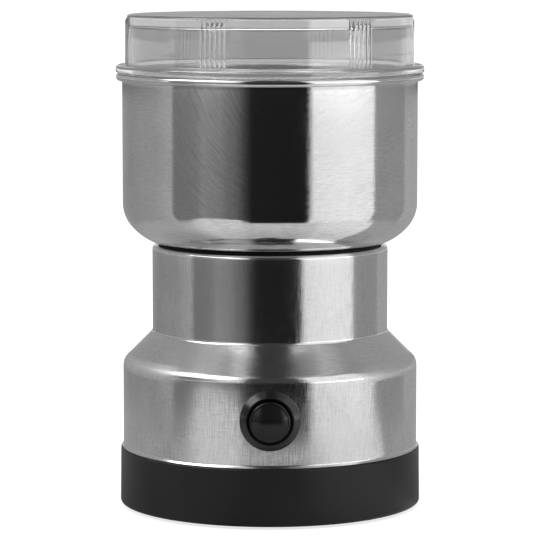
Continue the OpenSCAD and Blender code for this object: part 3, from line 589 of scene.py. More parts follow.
@dataclass(frozen=True)
class Layered(Finish):
    """Stacked sheet or wound wire: fine steps along one axis.

    Attributes:
        pitch: one sheet or wire, in millimetres.
        axis: 0, 1 or 2 for steps along X, Y or Z.
        dark: factor on the tone of the seams.
    """

    roughness: float = 0.35
    metallic: float = 1.0
    pitch: float = 0.5
    axis: int = 2
    dark: float = 0.45

    def varied(self, graph: Graph) -> dict[str, Any]:
        """A wave of one step per pitch along the axis gives the height and darkens the seams.

        Args:
            graph: the material's tree.

        Returns:
            Wires for the colour, the roughness and the normal.
        """
        place = graph.coordinates()
        wander = graph.noise(place, 300.0, 2.0)
        turns = graph.axis(place, self.axis) * (math.pi / (self.pitch * MM))
        wave = abs((turns + wander * 0.6).math("SINE"))
        seam = wave.between(0.05, 0.45)
        return {
            "Base Color": graph.blend(seam, self.shaded(self.dark), self.tone),
            "Roughness": self.roughness + (1 - seam) * 0.2,
            "Normal": graph.bump(wave, 0.5, 0.1 * MM),
        }


LEFT_WHEEL = Buffed(
    centre=(24.0, 160.0),
    middle=(-18.5, 126.0),
    reach=18.5,
    tall=2.0,
    depth=5.0,
    dulling=0.1,
    shade=0.8,
)
RIGHT_WHEEL = Buffed(
    centre=(70.0, 60.0),
    middle=(26.0, 118.0),
    reach=34.0,
    tall=1.0,
    depth=2.0,
    dulling=0.04,
    shade=0.2,
)
BOWL_STEEL = Steel(
    "bowl_steel",
    (0.812, 0.812, 0.81548),
    roughness=0.035,
    bite=0.012,
    sway=0.022,
    scatter=0.05,
    buffed=(LEFT_WHEEL, RIGHT_WHEEL),
)
BODY_STEEL = Steel(
    "body_steel",
    (0.742, 0.742, 0.74518),
    grain=Grain.UPRIGHT,
    roughness=0.09,
    bite=0.03,
    sway=0.04,
    cross_sway=0.03,
    scatter=0.07,
    dull_edge=SHOULDER_Z,
)
BLADE_STEEL = Steel(
    "blade_steel", (0.6, 0.6, 0.61), roughness=0.2, grain=Grain.NONE, bite=0.1, sway=0.0
)
CLEAR_LID = Clear("clear_lid", (0.535, 0.535, 0.538))
BASE_BLACK = Moulded("base_black", (0.004, 0.004, 0.0042), roughness=0.36)
BEZEL_BLACK = Moulded(
    "bezel_black", (0.006, 0.006, 0.0061), roughness=0.17, skin=0.05, specular=0.5
)
BUTTON_BLACK = Moulded(
    "button_black", (0.004, 0.004, 0.0042), roughness=0.12, skin=0.03, specular=0.4
)
RUBBER_BLACK = Moulded("rubber_black", (0.006, 0.006, 0.006), roughness=0.7, skin=0.3, pitch=1500)
CARRIER_GREY = Moulded("carrier_grey", (0.06, 0.06, 0.065), roughness=0.45)
RESIN_BROWN = Moulded("resin_brown", (0.12, 0.06, 0.035), roughness=0.5, skin=0.25, pitch=1200)
NYLON_WHITE = Moulded("nylon_white", (0.72, 0.71, 0.66), roughness=0.42)
CARBON_GREY = Moulded("carbon_grey", (0.03, 0.03, 0.032), roughness=0.55, skin=0.4, pitch=3000)
ZINC = Ground("zinc_plate", (0.62, 0.63, 0.64), roughness=0.24)
WIRE = Ground("spring_wire", (0.55, 0.55, 0.56), roughness=0.25, bite=0.05)
BRASS = Ground("stamped_brass", (0.72, 0.52, 0.22), roughness=0.28)
BRONZE = Ground("sintered_bronze", (0.5, 0.33, 0.17), roughness=0.5, bite=0.5, grains=1600)
ALLOY = Ground("cast_alloy", (0.5, 0.5, 0.51), roughness=0.45, bite=0.4, grains=700)
BAR_COPPER = Ground("bar_copper", (0.72, 0.36, 0.2), roughness=0.28)
SHEET_STACK = Layered("sheet_stack", (0.32, 0.33, 0.35), pitch=0.5, axis=2)
WOUND_UP = Layered("wound_copper_coils", (0.55, 0.22, 0.08), pitch=0.6, axis=1, roughness=0.25)
WOUND_ROTOR = Layered("wound_copper_rotor", (0.55, 0.22, 0.08), pitch=0.6, axis=2, roughness=0.25)

CARRIED: dict[str, Finish] = {
    "bowl_gasket": RUBBER_BLACK,
    "base": BASE_BLACK,
    "rubber_feet": RUBBER_BLACK,
    "base_screws": ZINC,
    "cord_gland": RUBBER_BLACK,
    "switch_nut": BEZEL_BLACK,
    "switch_back": RESIN_BROWN,
    "switch_terminals": BRASS,
    "button_clip": ZINC,
    "contact_bridge": BAR_COPPER,
    "shaft_seal": RUBBER_BLACK,
    "bowl_screws": ZINC,
    "motor_mount": CARRIER_GREY,
    "motor_dampers": RUBBER_BLACK,
    "damper_screws": ZINC,
    "upper_bracket": ALLOY,
    "upper_bearing": BRONZE,
    "stator_core": SHEET_STACK,
    "field_coils": WOUND_UP,
    "through_bolts": ZINC,
    "lower_bracket": RESIN_BROWN,
    "lower_bearing": BRONZE,
    "brush_holders": BRASS,
    "carbon_brushes": CARBON_GREY,
    "brush_springs": WIRE,
    "brush_caps": BRASS,
    "motor_shaft": ZINC,
    "rotor_core": SHEET_STACK,
    "rotor_windings": WOUND_ROTOR,
    "commutator": BAR_COPPER,
    "commutator_hub": RESIN_BROWN,
    "cooling_fan": NYLON_WHITE,
    "thrust_washers": NYLON_WHITE,
    "blade_spacer": BASE_BLACK,
    "blade_washer": ZINC,
    "blade_nut": ZINC,
}


# ------------------------------------------------------------------ surfaces


@dataclass(frozen=True)
class Corner:
    """Corner of a half section: distance from the axis, height, and the radius that rounds it."""

    r: float
    z: float
    fillet: float = 0.0


def rounded(corners: Sequence[Corner], closed: bool = True, step: float = 7.0) -> np.ndarray:
    """Outline with a true arc at each corner that has a fillet.

    A corner's arc has its centre on the line that halves the corner. Each arc starts and ends
    at fillet * tan(half the turn) from the corner, less where two arcs would meet.

    Args:
        corners: the outline's corners in order.
        closed: True if the last corner joins the first.
        step: degrees of arc from one point to the next.

    Returns:
        Points, one row each, in millimetres.
    """
    at = np.array([(c.r, c.z) for c in corners])
    fillets = np.array([c.fillet for c in corners])
    before = at - np.roll(at, 1, axis=0)
    after = np.roll(at, -1, axis=0) - at
    run_in, run_out = np.linalg.norm(before, axis=1), np.linalg.norm(after, axis=1)
    inward, outward = before / run_in[:, None], after / run_out[:, None]
    turn = np.arctan2(
        inward[:, 0] * outward[:, 1] - inward[:, 1] * outward[:, 0], (inward * outward).sum(1)
    )
    wish = fillets * np.tan(np.abs(turn) / 2)
    if not closed:
        wish[[0, -1]] = 0.0
    share = np.minimum(1.0, 0.99 * run_out / np.maximum(1e-9, wish + np.roll(wish, -1)))
    cut = wish * np.minimum(share, np.roll(share, 1))
    pieces = []
    for i in range(len(at)):
        if cut[i] < 1e-6 or abs(turn[i]) < 1e-4:
            pieces.append(at[i : i + 1])
            continue
        radius = cut[i] / math.tan(abs(turn[i]) / 2)
        start = at[i] - inward[i] * cut[i]
        side = math.copysign(1.0, turn[i])
        centre = start + radius * side * np.array([-inward[i][1], inward[i][0]])
        arm = start - centre
        count = max(3, int(math.degrees(abs(turn[i])) / step) + 2)
        swing = np.linspace(0.0, turn[i], count)
        cos, sin = np.cos(swing), np.sin(swing)
        pieces.append(centre + np.c_[arm[0] * cos - arm[1] * sin, arm[0] * sin + arm[1] * cos])
    return np.vstack(pieces)


def offset(corners: Sequence[Corner], gap: float) -> list[Corner]:
    """Other face of a bent sheet: an open path moved to its left.

    Each corner moves along the sum of its two edges' normals, scaled so that both edges keep the
    distance. A corner that turns left loses gap from its radius. One that turns right gains it.

    Args:
        corners: the path's corners in order.
        gap: how far to move it.

    Returns:
        The moved corners.
    """
    at = np.array([(c.r, c.z) for c in corners])
    edge = np.diff(at, axis=0)
    edge /= np.linalg.norm(edge, axis=1)[:, None]
    normal = np.c_[-edge[:, 1], edge[:, 0]]
    first, last = np.vstack([normal[:1], normal]), np.vstack([normal, normal[-1:]])
    shift = (first + last) * gap / (1 + (first * last).sum(1))[:, None]
    turn = np.r_[0, edge[:-1, 0] * edge[1:, 1] - edge[:-1, 1] * edge[1:, 0], 0]
    return [
        Corner(r, z, 0.0 if c.fillet == 0 else max(0.05, c.fillet - gap * np.sign(t)))
        for c, (r, z), t in zip(corners, at + shift, turn)
    ]


def spread(points: np.ndarray, longest: float) -> np.ndarray:
    """Splits an outline's long straight runs evenly.

    Args:
        points: the closed outline, one row a point.
        longest: no step of the result is longer than this.

    Returns:
        The outline with the points that it lacked: a + (b - a) i / n for i from 0 to n - 1.
    """
    nexts = np.roll(points, -1, axis=0)
    counts = np.maximum(1, np.ceil(np.linalg.norm(nexts - points, axis=1) / longest)).astype(int)
    runs = zip(points, nexts, counts)
    return np.vstack([a + (b - a) * (np.arange(n) / n)[:, None] for a, b, n in runs])


@dataclass
class Surface:
    """Points in millimetres and the quads between them."""

    points: np.ndarray
    faces: np.ndarray

    @classmethod
    def grid(cls, points: np.ndarray, wrap: tuple[bool, bool] = (True, True)) -> "Surface":
        """Joins a grid of points, shaped (rows, columns, 3), into quads.

        Args:
            points: the grid.
            wrap: whether the last row joins the first, and the last column the first.

        Returns:
            The surface. Each quad runs from row i to i + 1, then from column j to j + 1.
        """
        rows, columns = points.shape[:2]
        i = np.arange(rows if wrap[0] else rows - 1)[:, None]
        j = np.arange(columns if wrap[1] else columns - 1)[None, :]
        down, right = (i + 1) % rows, (j + 1) % columns
        quads = [i * columns + j, down * columns + j, down * columns + right, i * columns + right]
        faces = np.stack(np.broadcast_arrays(*quads), axis=-1).reshape(-1, 4)
        return cls(points.reshape(-1, 3), faces)

    @classmethod
    def lathe(cls, outline: np.ndarray, angles: np.ndarray) -> "Surface":
        """Turns a half section round Z: a point at r and angle a is (r cos a, r sin a, z)."""
        return cls.turned(outline[:, :1] + 0 * angles, outline[:, 1:], angles)

    @classmethod
    def turned(
        cls, r: np.ndarray, z: np.ndarray, a: np.ndarray, wrap: tuple[bool, bool] = (True, True)
    ) -> "Surface":
        """Surface of the points (r cos a, r sin a, z).

        Args:
            r: distances from Z, shaped (rows, columns).
            z: heights, of the same shape or one column.
            a: angles round Z in radians, of the same shape or one row.
            wrap: as for grid.

        Returns:
            The surface.
        """
        return cls.grid(np.stack([r * np.cos(a), r * np.sin(a), z + 0 * r], axis=-1), wrap)

    @classmethod
    def rod(cls, radius: float, low: float, high: float, slices: int = 48) -> "Surface":
        """Closed cylinder round Z between two heights."""
        outline = np.array([(0.0, low), (radius, low), (radius, high), (0.0, high)])
        return cls.lathe(outline, circle(slices))

    def moved(self, x: float, y: float) -> "Surface":
        """The surface shifted."""
        return Surface(self.points + np.array([x, y, 0.0]), self.faces)

    def outward(self) -> "Surface":
        """Turns a closed surface's faces outwards, by the sign of its volume.

        Returns:
            The surface, turned or as it was.
        """
        a, b, c, d = (self.points[self.faces[:, k]] for k in range(4))
        volume = (a * np.cross(b, c)).sum() + (a * np.cross(c, d)).sum()
        return self if volume > 0 else Surface(self.points, self.faces[:, ::-1])

    def turned_to_front(self, reach: float, height: float) -> "Surface":
        """Lays the surface's Z along -Y, with its origin reach in front of the axis at height."""
        x, y, z = self.points.T
        return Surface(np.c_[x, -reach - z, height + y], self.faces)


def circle(count: int) -> np.ndarray:
    """Evenly spaced angles of one turn, in radians."""
    return np.arange(count) * (2 * math.pi / count)


class Piece:
    """Makes Blender objects from surfaces and puts them on their bodies."""

    @staticmethod
    def make(
        name: str,
        surface: Surface,
        finish: Finish,
        crease: float = 32.0,
        holes: Sequence[Surface] = (),
    ) -> bpy.types.Object:
        """Object of one surface, smooth but for its creases, at the origin.

        Args:
            name: the object's name.
            surface: its closed surface, in millimetres.
            finish: its material.
            crease: edges sharper than this many degrees stay sharp.
            holes: closed surfaces to cut out of it.

        Returns:
            The new object.
        """
        thing = Piece.blank(name, surface)
        for hole in holes:
            Piece.cut(thing, Piece.blank(name + "_hole", hole))
        thing.data.shade_smooth()
        thing.data.set_sharp_from_angle(angle=math.radians(crease))
        thing.data.materials.append(finish.material())
        return thing

    @staticmethod
    def blank(name: str, surface: Surface) -> bpy.types.Object:
        """Object of a surface with its faces outwards and its seams and poles welded.

        Args:
            name: the object's name.
            surface: a closed surface, in millimetres.

        Returns:
            The new object, with no material.
        """
        surface = surface.outward()
        mesh = bpy.data.meshes.new(name)
        mesh.from_pydata((surface.points * MM).tolist(), [], surface.faces.tolist())
        work = bmesh.new()
        work.from_mesh(mesh)
        bmesh.ops.remove_doubles(work, verts=work.verts, dist=2e-7)
        work.to_mesh(mesh)
        work.free()
        thing = bpy.data.objects.new(name, mesh)
        bpy.context.scene.collection.objects.link(thing)
        return thing

    @staticmethod
    def cut(thing: bpy.types.Object, tool: bpy.types.Object) -> None:
        """Takes the tool's form out of the piece, then throws the tool away.

        Args:
            thing: the piece.
            tool: a closed form that reaches through it.
        """
        step = thing.modifiers.new("cut", "BOOLEAN")
        step.operation, step.solver, step.object = "DIFFERENCE", "EXACT", tool
        bpy.context.view_layer.update()
        whole, scrap = thing.data, tool.data
        thing.data = bpy.data.meshes.new_from_object(
            thing.evaluated_get(bpy.context.evaluated_depsgraph_get())
        )
        thing.modifiers.clear()
        bpy.data.objects.remove(tool)
        for mesh in (whole, scrap):
            bpy.data.meshes.remove(mesh)
        thing.data.name = thing.name

    @staticmethod
    def place(thing: bpy.types.Object, body: str, slot: str, *nodes: str) -> None:
        """Puts a piece on its body and hides the solids that it stands for.

        Args:
            thing: the piece.
            body: the body that it rides on.
            slot: not used.
            nodes: the solids that it stands for.
        """
        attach(thing, body)
        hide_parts(*nodes)
        LOG.info("%s rides on %s, %d faces", thing.name, body, len(thing.data.polygons))


# ------------------------------------------------------------------ sub-assemblies


@dataclass(frozen=True)
class Lid:
    """Clear cap with a flange, a skirt inside the bowl and groups of upright grip ribs.

    Attributes:
        skirt_z: height of the skirt's lower end.
        seat_z: height of the flange's underside, on the bowl's rim.
        step_z: height from which the wall draws in by step.
        rib_pitch: degrees from one rib of a group to the next.
        first_group: degrees round Z of the first group's middle, from +X.
        rib_r: radius of a rib's own circle.
        rib_proud: how far a rib stands out of the wall.
        top_bend: radius of the top's outer edge.
        slices: even angles round the cap, besides those at the ribs.
    """

    skirt_z: float = 138.4
    seat_z: float = 146.4
    top_z: float = 165.8
    skirt_r: float = LID_R
    flange_r: float = 51.79
    flange_t: float = 2.6
    wall: float = 2.4
    roof: float = 3.6
    step_z: float = 157.6
    step: float = 0.38
    groups: int = 6
    ribs: int = 6
    rib_pitch: float = 1.97
    first_group: float = -112.5
    rib_r: float = 0.44
    rib_proud: float = 0.22
    top_bend: float = 0.9
    slices: int = 180

    def rib_angles(self) -> np.ndarray:
        """Places the ribs, as evenly spaced groups of evenly spaced ribs.

        Returns:
            Each rib's angle round Z, in radians.
        """
        group = np.arange(self.groups)[:, None] * (360 / self.groups) + self.first_group
        rib = (np.arange(self.ribs) - (self.ribs - 1) / 2)[None, :] * self.rib_pitch
        return np.radians((group + rib).ravel())

    def angles(self) -> np.ndarray:
        """Even angles, with nine closer ones across each rib, at sines of even steps.

        Returns:
            Angles round Z in radians, rising, none nearer than 1e-4 to the next.
        """
        steps = np.sin(np.linspace(-math.pi / 2, math.pi / 2, 9))
        across = steps * self.rib_r * 0.98 / self.skirt_r
        close = (self.rib_angles()[:, None] + across[None, :]).ravel()
        found = np.unique(np.round(np.r_[close, circle(self.slices)] % (2 * math.pi), 6))
        return found[np.r_[True, np.diff(found) > 1e-4]]

    def outline(self) -> np.ndarray:
        """Half section, up the outside and down the inside.

        Returns:
            The closed outline, one row a point.
        """
        out, top = self.skirt_r, self.top_z
        flange_top = self.seat_z + self.flange_t
        inner = out - self.wall
        rows = [
            Corner(inner, self.skirt_z, 0.35),
            Corner(out, self.skirt_z, 0.6),
            Corner(out, self.seat_z, 0.15),
            Corner(self.flange_r, self.seat_z, 0.4),
            Corner(self.flange_r, flange_top, 1.2),
            Corner(out, flange_top, 0.5),
            Corner(out, self.step_z, 30.0),
            Corner(out - self.step, self.step_z + 12 * self.step, 30.0),
            Corner(out - self.step, top, self.top_bend),
            Corner(0.0, top),
            Corner(0.0, top - self.roof),
            Corner(inner, top - self.roof, 1.2),
        ]
        return spread(rounded(rows), 4.0)

    def build(self) -> None:
        """Lathed cap whose outer wall swells to each rib's circle between flange and top edge.

        A rib is a circle of radius rib_r whose centre stands rib_r - rib_proud inside the skirt's
        radius. The wall's radius is the larger of its own and centre + sqrt(rib_r^2 - s^2), where
        s is the distance round the wall from the nearest rib.
        """
        outline, angles = self.outline(), self.angles()
        gap = angles[:, None] - self.rib_angles()[None, :]
        gap = np.abs((gap + math.pi) % (2 * math.pi) - math.pi).min(axis=1) * self.skirt_r
        bulge = np.sqrt(np.maximum(0.0, self.rib_r**2 - gap**2))
        swollen = np.where(bulge > 0, self.skirt_r + self.rib_proud - self.rib_r + bulge, 0.0)
        r, z = outline[:, :1], outline[:, 1:]
        outside = r > self.skirt_r - self.wall + 0.5
        low, high = self.seat_z + self.flange_t + 0.05, self.top_z - self.top_bend - 0.05
        on_wall = outside & (z > low) & (z < high)
        radius = np.where(on_wall, np.maximum(r, swollen[None, :]), r)
        cap = Surface.turned(radius, z, angles)
        lid = Piece.make("lid_cap", cap, CLEAR_LID, crease=50.0)
        Piece.place(lid, "lid", "clear_plastic", "lid")


@dataclass(frozen=True)
class Bowl:
    """Drawn bowl: flat floor, wide rounded foot, straight wall and a rim rolled outwards.

    Attributes:
        wall_r: the wall's outer radius.
        sheet: thickness of the sheet.
        foot_corner: radius where the floor meets the slope up to the wall, before rounding.
        foot_bend: outer radius of that bend.
        slope_h: height of the slope, before rounding.
        wall_bend: outer radius of the bend from slope to wall.
        roll_r: outer radius of the rolled rim.
        roll_end: degrees at which the roll ends, round from +X.
        hole_r: radius of the hole for the shaft seal.
        screw_ring: radius of the circle that the screws stand on.
        screw_hole: radius of their holes.
    """

    floor_z: float = 87.996
    height: float = 58.3
    wall_r: float = 49.65
    sheet: float = 0.6
    foot_corner: float = 40.65
    foot_bend: float = 19.6
    slope_h: float = 10.0
    wall_bend: float = 12.0
    roll_r: float = 1.35
    roll_end: float = 236.0
    hole_r: float = 7.93
    screw_ring: float = 24.0
    screw_angles: tuple[float, ...] = (60.0, 180.0, 300.0)
    screw_hole: float = 2.2

    def outline(self) -> np.ndarray:
        """Half section: out along the underside, up, round the roll and back inside.

        The roll is an arc of the sheet's thickness about a centre roll_r outside the inner wall,
        from the wall over the top and down to roll_end degrees.

        Returns:
            The closed outline, one row a point.
        """
        floor, roll_z = self.floor_z, self.floor_z + self.height - self.roll_r
        path = [
            Corner(self.hole_r, floor),
            Corner(self.foot_corner, floor, self.foot_bend),
            Corner(self.wall_r, floor + self.slope_h, self.wall_bend),
            Corner(self.wall_r, roll_z),
        ]
        centre = np.array([self.wall_r - self.sheet + self.roll_r, roll_z])
        sweep = np.radians(np.linspace(180.0, self.roll_end - 360.0, 40))
        ray = np.c_[np.cos(sweep), np.sin(sweep)]
        outside = rounded(path, closed=False, step=2.5)[:-1]
        inside = rounded(offset(path, self.sheet), closed=False, step=2.5)[:-1]
        curl_in = centre + (self.roll_r - self.sheet) * ray
        curl_out = centre + self.roll_r * ray
        return spread(np.vstack([outside, curl_in, curl_out[::-1], inside[::-1]]), 2.5)

    def build(self) -> None:
        """Lathed bowl, with its screw holes cut."""
        drill = Surface.rod(self.screw_hole, self.floor_z - 1.0, self.floor_z + 2.0)
        holes = [
            drill.moved(self.screw_ring * math.cos(a), self.screw_ring * math.sin(a))
            for a in map(math.radians, self.screw_angles)
        ]
        whole = Surface.lathe(self.outline(), circle(AROUND))
        bowl = Piece.make("drawn_bowl", whole, BOWL_STEEL, holes=holes)
        Piece.place(bowl, "housing", "polished_steel", "bowl")


@dataclass(frozen=True)
class BodyShell:
    """Stepped steel shell: flared bottom edge, wall, shoulder, neck and an inturned lip.

    Attributes:
        bottom: height of the bottom edge.
        corner_z: height of the corner between wall and shoulder, before rounding.
        waist_z: height of the corner between shoulder and neck, before rounding.
        lip: how far the lip turns in.
        flare: how far the bottom edge stands out.
        switch_z: height of the switch's hole.
        switch_hole: radius of that hole.
    """

    bottom: float = 20.2
    wall_r: float = BODY_R
    corner_z: float = SHOULDER_Z
    neck_r: float = 39.75
    waist_z: float = 59.3
    top: float = 88.3
    lip: float = 4.2
    sheet: float = 0.6
    flare: float = 0.5
    corner_bend: float = 4.0
    waist_bend: float = 1.5
    neck_bend: float = 1.3
    switch_z: float = SWITCH_Z
    switch_hole: float = 8.1

    def outline(self) -> np.ndarray:
        """Half section from the flared edge up to the lip and back along the inside.

        Returns:
            The closed outline, one row a point.
        """
        path = [
            Corner(self.wall_r + self.flare, self.bottom),
            Corner(self.wall_r, self.bottom + 1.4 * self.flare, 0.8),
            Corner(self.wall_r, self.corner_z, self.corner_bend),
            Corner(self.neck_r, self.waist_z, self.waist_bend),
            Corner(self.neck_r, self.top, self.neck_bend),
            Corner(self.neck_r - self.lip, self.top),
        ]
        outside = rounded(path, closed=False, step=4.0)
        inside = rounded(offset(path, self.sheet), closed=False, step=4.0)
        inside[0, 1] = self.bottom
        return spread(np.vstack([outside, inside[::-1]]), 2.5)

    def build(self) -> None:
        """Lathed shell, with the hole for the switch's barrel cut through its front."""
        drill = Surface.rod(self.switch_hole, -12.0, 8.0)
        hole = drill.turned_to_front(self.wall_r, self.switch_z)
        whole = Surface.lathe(self.outline(), circle(AROUND))
        shell = Piece.make("stepped_shell", whole, BODY_STEEL, holes=[hole])
        Piece.place(shell, "housing", "polished_steel", "body_shell")


@dataclass(frozen=True)
class PushButton:
    """Push switch: bezel, barrel, a domed cap and its spring.

    Sizes whose names end in z are levels along the switch's own axis, counted outwards from the
    front of the body's wall.

    Attributes:
        reach: distance of that front from the body's axis.
        height: height of the switch above the table.
        bezel_proud: how far the bezel stands out.
        bezel_back: level of the bezel's back, before it takes the wall's curve.
        bore_r: radius of the bezel's opening.
        shelf_z: level of the shelf under the cap, which the spring stands on.
        crown_z: level of the middle of the cap's dome.
        crown_rise: height of the dome over its rim.
        roof_t: thickness of the cap's roof at its rim.
        cap_shoulder: width of the rounding outside the dome.
        travel: how far the cap can be pressed.
        stem_z: level of the stem's inner end.
        coil_r: radius of the spring, to the middle of its wire.
        clear: gap that keeps two surfaces from lying in one plane.
        slices: faces round each form.
    """

    reach: float = BODY_R
    height: float = SWITCH_Z
    bezel_r: float = 9.9
    bezel_proud: float = 2.3
    bezel_back: float = -1.2
    chamfer: float = 0.8
    barrel_r: float = 7.9
    barrel_len: float = 17.5
    cap_r: float = 6.6
    bore_r: float = 6.93
    shelf_z: float = -5.6
    shelf_t: float = 1.5
    stem_r: float = 2.0
    chamber_r: float = 6.5
    crown_z: float = 4.7
    crown_rise: float = 1.1
    roof_t: float = 1.4
    cap_wall: float = 1.2
    cap_shoulder: float = 0.6
    travel: float = 2.5
    stem_z: float = -11.2
    coil_r: float = 3.3
    wire_r: float = 0.3
    turns: float = 5.5
    clear: float = 0.03
    slices: int = 128

    def housing(self) -> Surface:
        """Bezel and barrel as one lathed form, whose bezel's back follows the body's wall.

        The back of the bezel lies at sqrt(reach^2 - x^2) - reach, the wall's own curve at x.

        Returns:
            The closed surface, in place on the body's front.
        """
        proud, stem_hole = self.bezel_proud, self.stem_r + 0.05
        rows = [
            Corner(self.chamber_r, -self.barrel_len),
            Corner(self.barrel_r, -self.barrel_len, 0.3),
            Corner(self.barrel_r, self.bezel_back),
            Corner(self.bezel_r, self.bezel_back),
            Corner(self.bezel_r, proud * 0.2, 0.35),
            Corner(self.bore_r + self.chamfer + 0.05, proud, 0.3),
            Corner(self.bore_r, proud - self.chamfer, 0.15),
            Corner(self.bore_r, self.shelf_z),
            Corner(stem_hole, self.shelf_z),
            Corner(stem_hole, self.shelf_z - self.shelf_t),
            Corner(self.chamber_r, self.shelf_z - self.shelf_t),
        ]
        outline = spread(rounded(rows, step=12.0), 1.2)
        angles = circle(self.slices)
        r, z = outline[:, :1], outline[:, 1:]
        wall = np.sqrt(self.reach**2 - (r * np.cos(angles)) ** 2) - self.reach + self.clear
        back = (np.abs(z - self.bezel_back) < 1e-6) & (r > self.barrel_r - 1e-6)
        whole = Surface.turned(r + 0 * angles, np.where(back, wall, z), angles)
        return whole.turned_to_front(self.reach, self.height)

    def cap(self) -> Surface:
        """Cap with a rounded rim, a shallow dome and a stem.

        The dome is a slice of a sphere of radius (w^2 + rise^2) / (2 rise), where w is half its
        width and rise its height.

        Returns:
            The closed surface, in place on the body's front.
        """
        rim, half = self.crown_z - self.crown_rise, self.cap_r - self.cap_shoulder
        ball = (half**2 + self.crown_rise**2) / (2 * self.crown_rise)
        dome_r = half * np.linspace(1.0, 0.0, 28)
        dome = np.c_[dome_r, self.crown_z - ball + np.sqrt(ball**2 - dome_r**2)]
        inside, foot = self.cap_r - self.cap_wall, self.shelf_z + self.travel + 0.3
        rows = [
            Corner(inside, foot),
            Corner(self.cap_r, foot, 0.1),
            Corner(self.cap_r, rim, 0.5),
            Corner(half, rim + 0.02, 0.15),
        ]
        side = rounded(rows, closed=False, step=8.0)
        stem = [(0.0, self.stem_z), (self.stem_r, self.stem_z), (self.stem_r, self.roof)]
        outline = spread(np.vstack([side[:-1], dome, stem, [(inside, self.roof)]]), 1.0)
        whole = Surface.lathe(outline, circle(self.slices))
        return whole.turned_to_front(self.reach, self.height)

    @property
    def roof(self) -> float:
        """Height of the cap's roof over the spring."""
        return self.crown_z - self.crown_rise - self.roof_t

    def spring(self, low: float, high: float) -> Surface:
        """Helix of round wire, closed to a point at its ends.

        At coil angle a and wire angle b the radius is coil_r + wire_r cos b, and the height rises
        evenly with a, plus wire_r sin b.

        Args:
            low: height of the wire's lowest point.
            high: height of its highest point.

        Returns:
            The closed surface, in place on the body's front.
        """
        run = np.linspace(0.0, 1.0, int(30 * self.turns))
        run = np.concatenate([run[:1], run, run[-1:]])[:, None]
        wire = np.full_like(run, self.wire_r)
        wire[[0, -1]] = 0.0
        a, b = 2 * math.pi * self.turns * run, circle(12)[None, :]
        r = self.coil_r + wire * np.cos(b)
        z = low + self.wire_r + (high - low - 2 * self.wire_r) * run + wire * np.sin(b)
        coil = Surface.turned(r, z, a, wrap=(False, True))
        return coil.turned_to_front(self.reach, self.height)

    def build(self) -> None:
        """Both moulded parts of the switch that show, and the spring that the cap squeezes."""
        housing = Piece.make("button_bezel", self.housing(), BEZEL_BLACK)
        Piece.place(housing, "housing", "black_plastic", "switch_housing")
        cap = Piece.make("button_crown", self.cap(), BUTTON_BLACK, crease=40.0)
        Piece.place(cap, "button", "button_plastic", "button_cap")
        low, high = self.shelf_z + self.clear, self.roof - self.clear
        coil = Piece.make("button_coil", self.spring(low, high), WIRE, crease=60.0)
        Piece.place(coil, "button", "spring_steel", "button_spring")
        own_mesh(coil)


@dataclass(frozen=True)
class Blade:
    """Two-winged cutting blade, lofted from a flat hub to pitched and bent wings.

    Attributes:
        z: height of the hub's underside.
        pitch: degrees by which a wing is twisted.
        lift: how far one wing's tip rises.
        drop: how far the other wing's tip sinks.
        twist_run: length over which the twist grows, from the hub.
        taper: share of its width that a wing loses by its tip.
        bevel_root: width of the ground edge at the hub.
        bevel_tip: width of the ground edge at the tip.
    """

    z: float = 97.896
    length: float = 68.0
    width: float = 11.0
    thickness: float = 1.6
    pitch: float = 16.0
    lift: float = 7.0
    drop: float = 2.0
    hub_r: float = 8.5
    hole_r: float = 3.03
    twist_run: float = 12.0
    taper: float = 0.15
    bevel_root: float = 0.2
    bevel_tip: float = 2.4

    @staticmethod
    def ease(t: np.ndarray) -> np.ndarray:
        """Smooth step from 0 to 1: t^2 (3 - 2t)."""
        c = np.clip(t, 0.0, 1.0)
        return c * c * (3 - 2 * c)

    def surface(self) -> Surface:
        """Loft of six-sided sections along the blade.

        At s from the hub the half width is the arm's, rounded off at the tip by a circle's
        square root and swollen at the hub to its circle. The section turns by pitch * ease and
        rises by lift or drop * ease. Its edges are ground thin towards the tips.

        Returns:
            The closed surface, in place on the spindle.
        """
        half = self.length / 2
        s = half * np.sin(np.linspace(-math.pi / 2, math.pi / 2, 161))
        run = np.abs(s)
        wing = self.ease((run - self.hub_r - 0.5) / (half - self.hub_r))
        nose_run = self.width * 0.6
        into_nose = np.maximum(0, (run - half + nose_run) / nose_run)
        nose = np.sqrt(np.maximum(0.0015, 1 - into_nose**2))
        hub = np.sqrt(np.maximum(0.0, self.hub_r**2 - run**2))
        w = np.maximum(self.width / 2 * (1 - self.taper * wing) * nose, hub)
        bevel = self.bevel_root + (self.bevel_tip - self.bevel_root) * wing
        edge = w - np.minimum(w * 0.6, bevel)
        h = self.thickness / 2 + 0 * s
        turn = np.radians(np.sign(s) * self.pitch * self.ease((run - self.hub_r) / self.twist_run))
        rise = np.where(s > 0, self.lift, -self.drop) * wing
        across = np.stack([-w, -edge, edge, w, edge, -edge], axis=1)
        up = np.stack([0 * h, -h, -h, 0 * h, h, h], axis=1)
        cos, sin = np.cos(turn)[:, None], np.sin(turn)[:, None]
        y = across * cos - up * sin
        z = self.z + self.thickness / 2 + rise[:, None] + across * sin + up * cos
        grid = np.stack([s[:, None] + 0 * y, y, z], axis=-1)
        tips = [grid[[i]].mean(1, keepdims=True) + 0 * grid[[i]] for i in (0, -1)]
        return Surface.grid(np.concatenate([tips[0], grid, tips[1]]), wrap=(False, True))

    def build(self) -> None:
        """The blade, under its nut."""
        hole = Surface.rod(self.hole_r, self.z - 3.0, self.z + self.thickness + 3.0)
        blade = Piece.make("cutting_blade", self.surface(), BLADE_STEEL, crease=18.0, holes=[hole])
        Piece.place(blade, "spindle", "blade_steel", "blade")


# ------------------------------------------------------------------ studio


